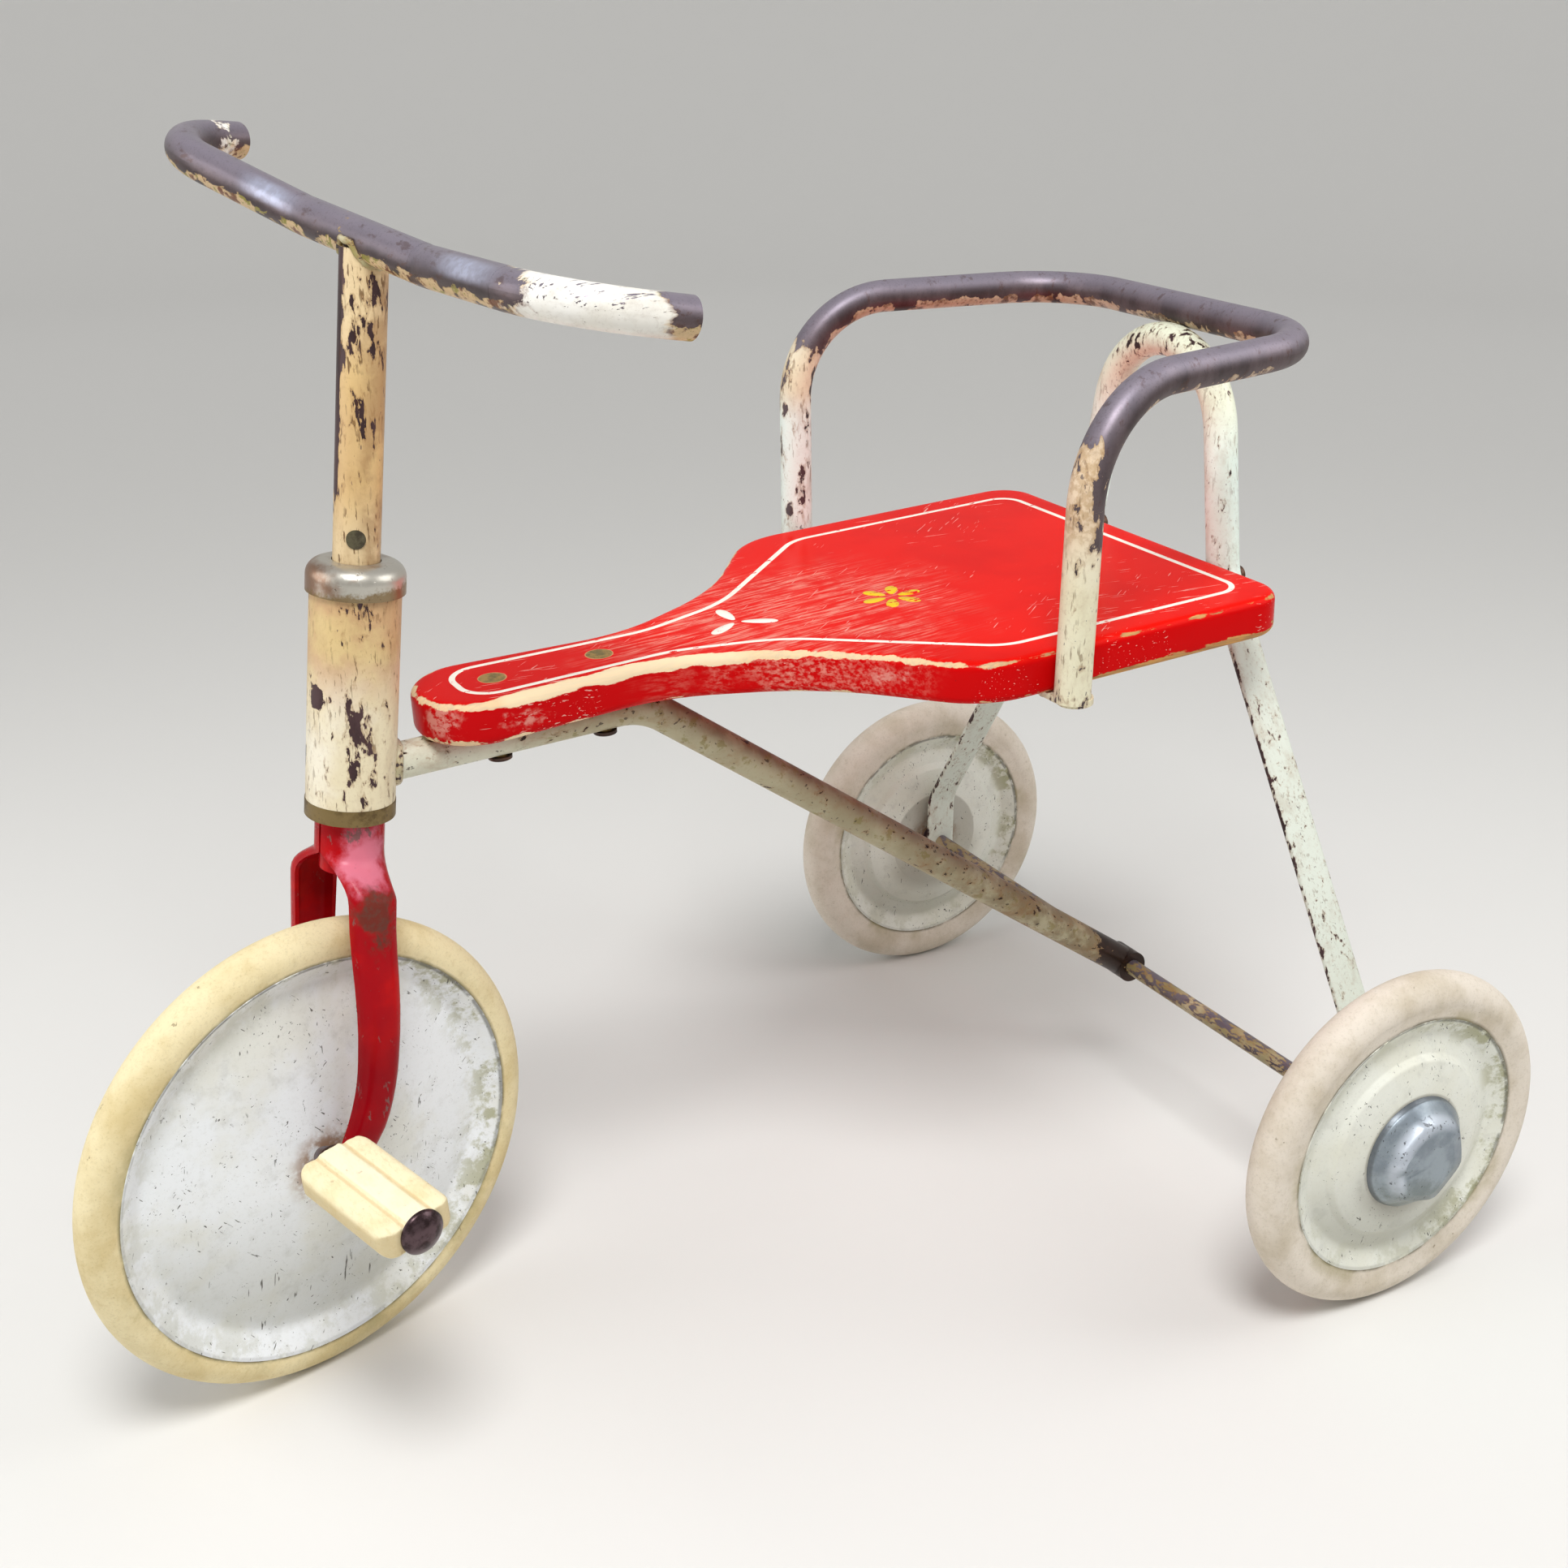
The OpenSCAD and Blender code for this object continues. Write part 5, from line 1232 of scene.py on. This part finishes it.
def pedal_finish(side, tints):
    """Pale yellow block, paler on its raised band, with painted shade in the grooves beside it
    and on its sides.
    """
    f = Finish(side + "_block_cream")
    cloud = f.noise(14, 4, 0.6, 101)
    fine = f.noise(1.3, 5, 0.7, 102, f.stretched((1, 0.35, 1)))
    body = f.over(tints.pedal_cream, f.step(cloud, 0.42, 0.7), 0.6, shade(224, 204, 152))
    body = f.over(body, f.step(fine, 0.46, 0.72), 0.4, shade(206, 180, 128))
    pin, axis = joint_line(side + "_pedal_spin")
    across = axis.cross(PEDAL_UP).normalized()
    off = f.math("ABSOLUTE", f.dot(f.vector("SUBTRACT", f.here, pin), across))
    level = f.math("ABSOLUTE", f.facing(PEDAL_UP))
    flat = f.step(level, 0.8, 0.96)
    band = f.times(f.step(off, (BAND_HALF + 0.5) * MM, (BAND_HALF - 0.3) * MM), flat)
    groove = f.step(f.math("ABSOLUTE", f.minus(off, (BAND_HALF + 1.0) * MM)),
                    1.3 * MM, 0.5 * MM)
    # painted shade: the sides darker and browner than the flat faces
    body = f.over(body, f.step(level, 0.6, 0.1), 0.6, shade(202, 178, 130))
    body = f.over(body, band, 0.4, shade(250, 245, 224))
    # painted shade in the grooves beside the band
    body = f.over(body, f.times(groove, flat), 0.5, shade(206, 174, 122))
    dirt = f.patches(0.62, 0.68, 4, 5, 0.65, 103)
    f.set(Base_Color=f.over(body, dirt, 0.4, shade(168, 130, 88)),
          Roughness=f.blend(fine, 0.5, 0.7), Specular_IOR_Level=0.3)
    f.bump(f.weighed((fine, 0.4), (cloud, 0.6)), 0.4, 0.6)
    return f.mat


def head_cap_finish(tints):
    """Plating browner on the side towards the image's left, and tarnished yellow along its foot.
    """
    f = Finish("head_cap_plate")
    low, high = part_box("head_cap")
    rise = high.z - low.z
    fine = f.noise(2.2, 5, 0.66, 112)
    brown = f.plus(f.times(f.facing(IMAGE_LEFT), 0.42),
                   f.minus(f.noise(8, 5, 0.62, 111), 0.18))
    body = f.mix(f.step(brown, 0.22, 0.62), tints.plated, shade(146, 116, 96))
    foot = f.plus(f.along(Z, low.z + 0.62 * rise, low.z + 0.1 * rise),
                  f.times(f.minus(fine, 0.5), 1.6))
    body = f.over(body, f.step(foot, 0.3, 0.8), 0.85, shade(132, 108, 66))
    pits = f.step(fine, 0.62, 0.68)
    f.set(Base_Color=f.over(body, pits, 0.6, shade(64, 46, 34)),
          Roughness=f.blend(fine, 0.2, 0.46), Metallic=0.8)
    f.bump(f.minus(fine, pits), 0.12, 0.6)
    return f.mat


def metal_finish(name, tint, second, rough, metallic, size, seed):
    """Old bare or plated metal, tarnished in patches."""
    f = Finish(name)
    cloud = f.noise(size, 5, 0.62, seed)
    pits = f.patches(0.62, 0.68, 1.8, 4, 0.6, seed + 2)
    body = f.mix(f.step(cloud, 0.42, 0.62), tint, second)
    f.set(Base_Color=f.over(body, pits, 0.5, (0.05, 0.035, 0.03)),
          Roughness=f.blend(cloud, rough, rough + 0.25), Metallic=metallic)
    f.bump(f.minus(f.noise(1.4, 4, 0.6, seed + 1), pits), 0.1, 0.6)
    return f.mat


def rounded_block(node, name, body, mat):
    """A pedal block with its edges worn round, in place of its node."""
    piece = smooth_copy(node, name, body, "pedal_cream", mat, 180.0)
    melt = piece.modifiers.new("melt", "REMESH")
    melt.mode = "VOXEL"
    melt.voxel_size = BLOCK_VOXEL
    melt.use_smooth_shade = True
    wear = piece.modifiers.new("wear", "SMOOTH")
    wear.factor, wear.iterations = 0.5, BLOCK_ROUNDS
    made = evaluated_mesh(piece, name)
    piece.modifiers.clear()
    piece.data = made


class TRIKE_OT_small(bpy.types.Operator):
    """Finish the pedals, caps, bolts, washers, bushes and the rod"""
    bl_idname = "trike.small"
    bl_label = "Pedals and small metal"

    def execute(self, context):
        tints = context.scene.trike_paint
        button = metal_finish("button_steel", shade(92, 74, 78), shade(54, 40, 42), 0.2,
                              0.85, 5, 126)
        for side in SIDES:
            rounded_block(side + "_pedal_block", side + "_block", side + "_pedal",
                          pedal_finish(side, tints))
            smooth_copy("pedal_cap_" + side, side + "_button", "front_wheel", "dark_steel",
                        button, 70.0)
        paint(head_cap_finish(tints), "head_cap")
        paint(metal_finish("ring_steel", shade(128, 108, 68), shade(88, 70, 40), 0.34, 0.6,
                           8, 114), "head_ring")
        paint(metal_finish("rivet_steel", shade(94, 88, 66), shade(64, 56, 42), 0.4, 0.4, 5,
                           129), "stem_rivet")
        paint(metal_finish("brown_steel", tints.dark_brown, shade(92, 64, 50), 0.26, 0.55, 7,
                           117),
              "pedal_washers", "upper_bush", "lower_bush", "fork_bushes", "hoop_screws",
              "armrest_screws", "seat_nuts", "axle_nuts", "steerer_tube", "hub_pin")
        paint(metal_finish("rod_steel", tints.bare_steel, shade(92, 64, 50), 0.34, 0.6, 6,
                           120),
              "crank_axle", "front_washers", "axle_washers", "front_hub", "left_hub",
              "right_hub")
        paint(metal_finish("bolt_brass", shade(186, 150, 84), tints.patina, 0.34, 0.6, 4,
                           123), "seat_bolts")
        return {"FINISHED"}


# Stage

CAMERA_PLACE = (606.11, 727.49, 573.28)
CAMERA_WAY = (-0.44898, -0.80415, -0.38957)
CAMERA_ROLL = -0.16
SENSOR_WIDTH = 36
CLIP = (0.01, 30)
# lamp, place, aim, diameter in metres and power
LAMPS = (
    ("key", (723, 924, 1999), (230, 40, 180), 0.8, "key_power"),
    ("fill", (1250, -250, 620), (300, 0, 200), 0.9, "fill_power"),
    ("back", (-650, 500, 900), (100, 0, 200), 0.8, "back_power"),
)
WHITE = (1, 1, 1)
# radius, height and bend of the backdrop in metres, and its number of sides
FLOOR_REACH, FLOOR_RISE, FLOOR_BEND, FLOOR_SIDES = 4.0, 3.0, 1.2, 96
GLOW_REACH = (0.7, 2.6)


def add_floor(mat):
    """A round floor that curves up into a backdrop far behind."""
    flat, steps = FLOOR_REACH - FLOOR_BEND, 12
    turns = [math.pi / 2 * k / steps for k in range(1, steps + 1)]
    profile = [(0.01, 0.0), (1.0, 0.0), (flat, 0.0),
               *[(flat + FLOOR_BEND * math.sin(a), FLOOR_BEND - FLOOR_BEND * math.cos(a))
                 for a in turns], (FLOOR_REACH, FLOOR_RISE)]
    count = FLOOR_SIDES
    points = [(r * math.cos(2 * math.pi * i / count), r * math.sin(2 * math.pi * i / count), z)
              for r, z in profile for i in range(count)]
    faces = [tuple(range(count))]
    for j in range(len(profile) - 1):
        for i in range(count):
            a, b = j * count + i, j * count + (i + 1) % count
            faces.append((a, a + count, b + count, b))
    mesh = mesh_of("floor", points, faces)
    for face in mesh.polygons:
        face.use_smooth = True
    mesh.materials.append(mat)
    new_object("floor", mesh)


def floor_finish(stage):
    """Matt floor; far from the tricycle it glows a little, but lights nothing."""
    f = Finish("floor_pale")
    seen = f.most(*(f.node("ShaderNodeLightPath", out=ray) for ray in
                    ("Is Camera Ray", "Is Glossy Ray", "Is Transmission Ray")))
    far = f.step(f.long(f.here), *GLOW_REACH)
    f.set(Base_Color=stage.floor, Roughness=0.8, Specular_IOR_Level=0.2,
          Emission_Color=WHITE, Emission_Strength=f.times(seen, far, stage.backdrop))
    return f.mat


class TRIKE_OT_stage(bpy.types.Operator):
    """Set the pale floor, the soft lamps and the photograph's camera"""
    bl_idname = "trike.stage"
    bl_label = "Stage"

    def execute(self, context):
        scene, stage = context.scene, context.scene.trike_stage
        add_floor(floor_finish(stage))
        world = bpy.data.worlds.new("pale_room")
        world.use_nodes = True
        sky = world.node_tree.nodes["Background"]
        sky.inputs["Color"].default_value = (*WHITE, 1)
        sky.inputs["Strength"].default_value = stage.sky
        scene.world = world
        for name, at, to, size, power in LAMPS:
            lamp = bpy.data.lights.new(name, "AREA")
            lamp.shape = "DISK"
            lamp.size = size
            lamp.energy = getattr(stage, power)
            holder = new_object(name, lamp)
            holder.location = spot_at(*at)
            way = spot_at(*to) - holder.location
            holder.rotation_euler = way.to_track_quat("-Z", "Y").to_euler()
        camera = bpy.data.cameras.new("photo")
        camera.lens = stage.lens
        camera.sensor_width = SENSOR_WIDTH
        camera.clip_start, camera.clip_end = CLIP
        holder = new_object("photo", camera)
        look = Vector(CAMERA_WAY).to_track_quat("-Z", "Y").to_matrix().to_4x4()
        holder.matrix_world = (Matrix.Translation(spot_at(*CAMERA_PLACE)) @ look
                               @ Matrix.Rotation(math.radians(CAMERA_ROLL), 4, "Z"))
        scene.camera = holder
        scene.view_settings.view_transform = "Standard"
        return {"FINISHED"}


class TRIKE_PT_panel(bpy.types.Panel):
    """Lists the steps, and the colours and sizes they use"""
    bl_idname = "TRIKE_PT_panel"
    bl_label = "Tricycle"
    bl_space_type = "VIEW_3D"
    bl_region_type = "UI"
    bl_category = "Tricycle"

    def draw(self, context):
        for step in STEPS:
            self.layout.operator(step.bl_idname)
        for name in GROUPS:
            group, column = getattr(context.scene, name), self.layout.column()
            for key in group.__annotations__:
                column.prop(group, key)


GROUPS = {"trike_paint": TrikePaint, "trike_sizes": TrikeSizes, "trike_stage": TrikeStage}
STEPS = (TRIKE_OT_stage, TRIKE_OT_seat, TRIKE_OT_tubes, TRIKE_OT_fork, TRIKE_OT_wheels,
         TRIKE_OT_small)


def register():
    for item in (*GROUPS.values(), *STEPS, TRIKE_PT_panel):
        bpy.utils.register_class(item)
    for name, group in GROUPS.items():
        setattr(bpy.types.Scene, name, PointerProperty(type=group))


def unregister():
    for name in GROUPS:
        delattr(bpy.types.Scene, name)
    for item in reversed((*GROUPS.values(), *STEPS, TRIKE_PT_panel)):
        bpy.utils.unregister_class(item)


def main():
    register()
    bpy.ops.trike.stage()
    bpy.ops.trike.seat()
    bpy.ops.trike.tubes()
    bpy.ops.trike.fork()
    bpy.ops.trike.wheels()
    bpy.ops.trike.small()


if __name__ == "__main__":
    main()
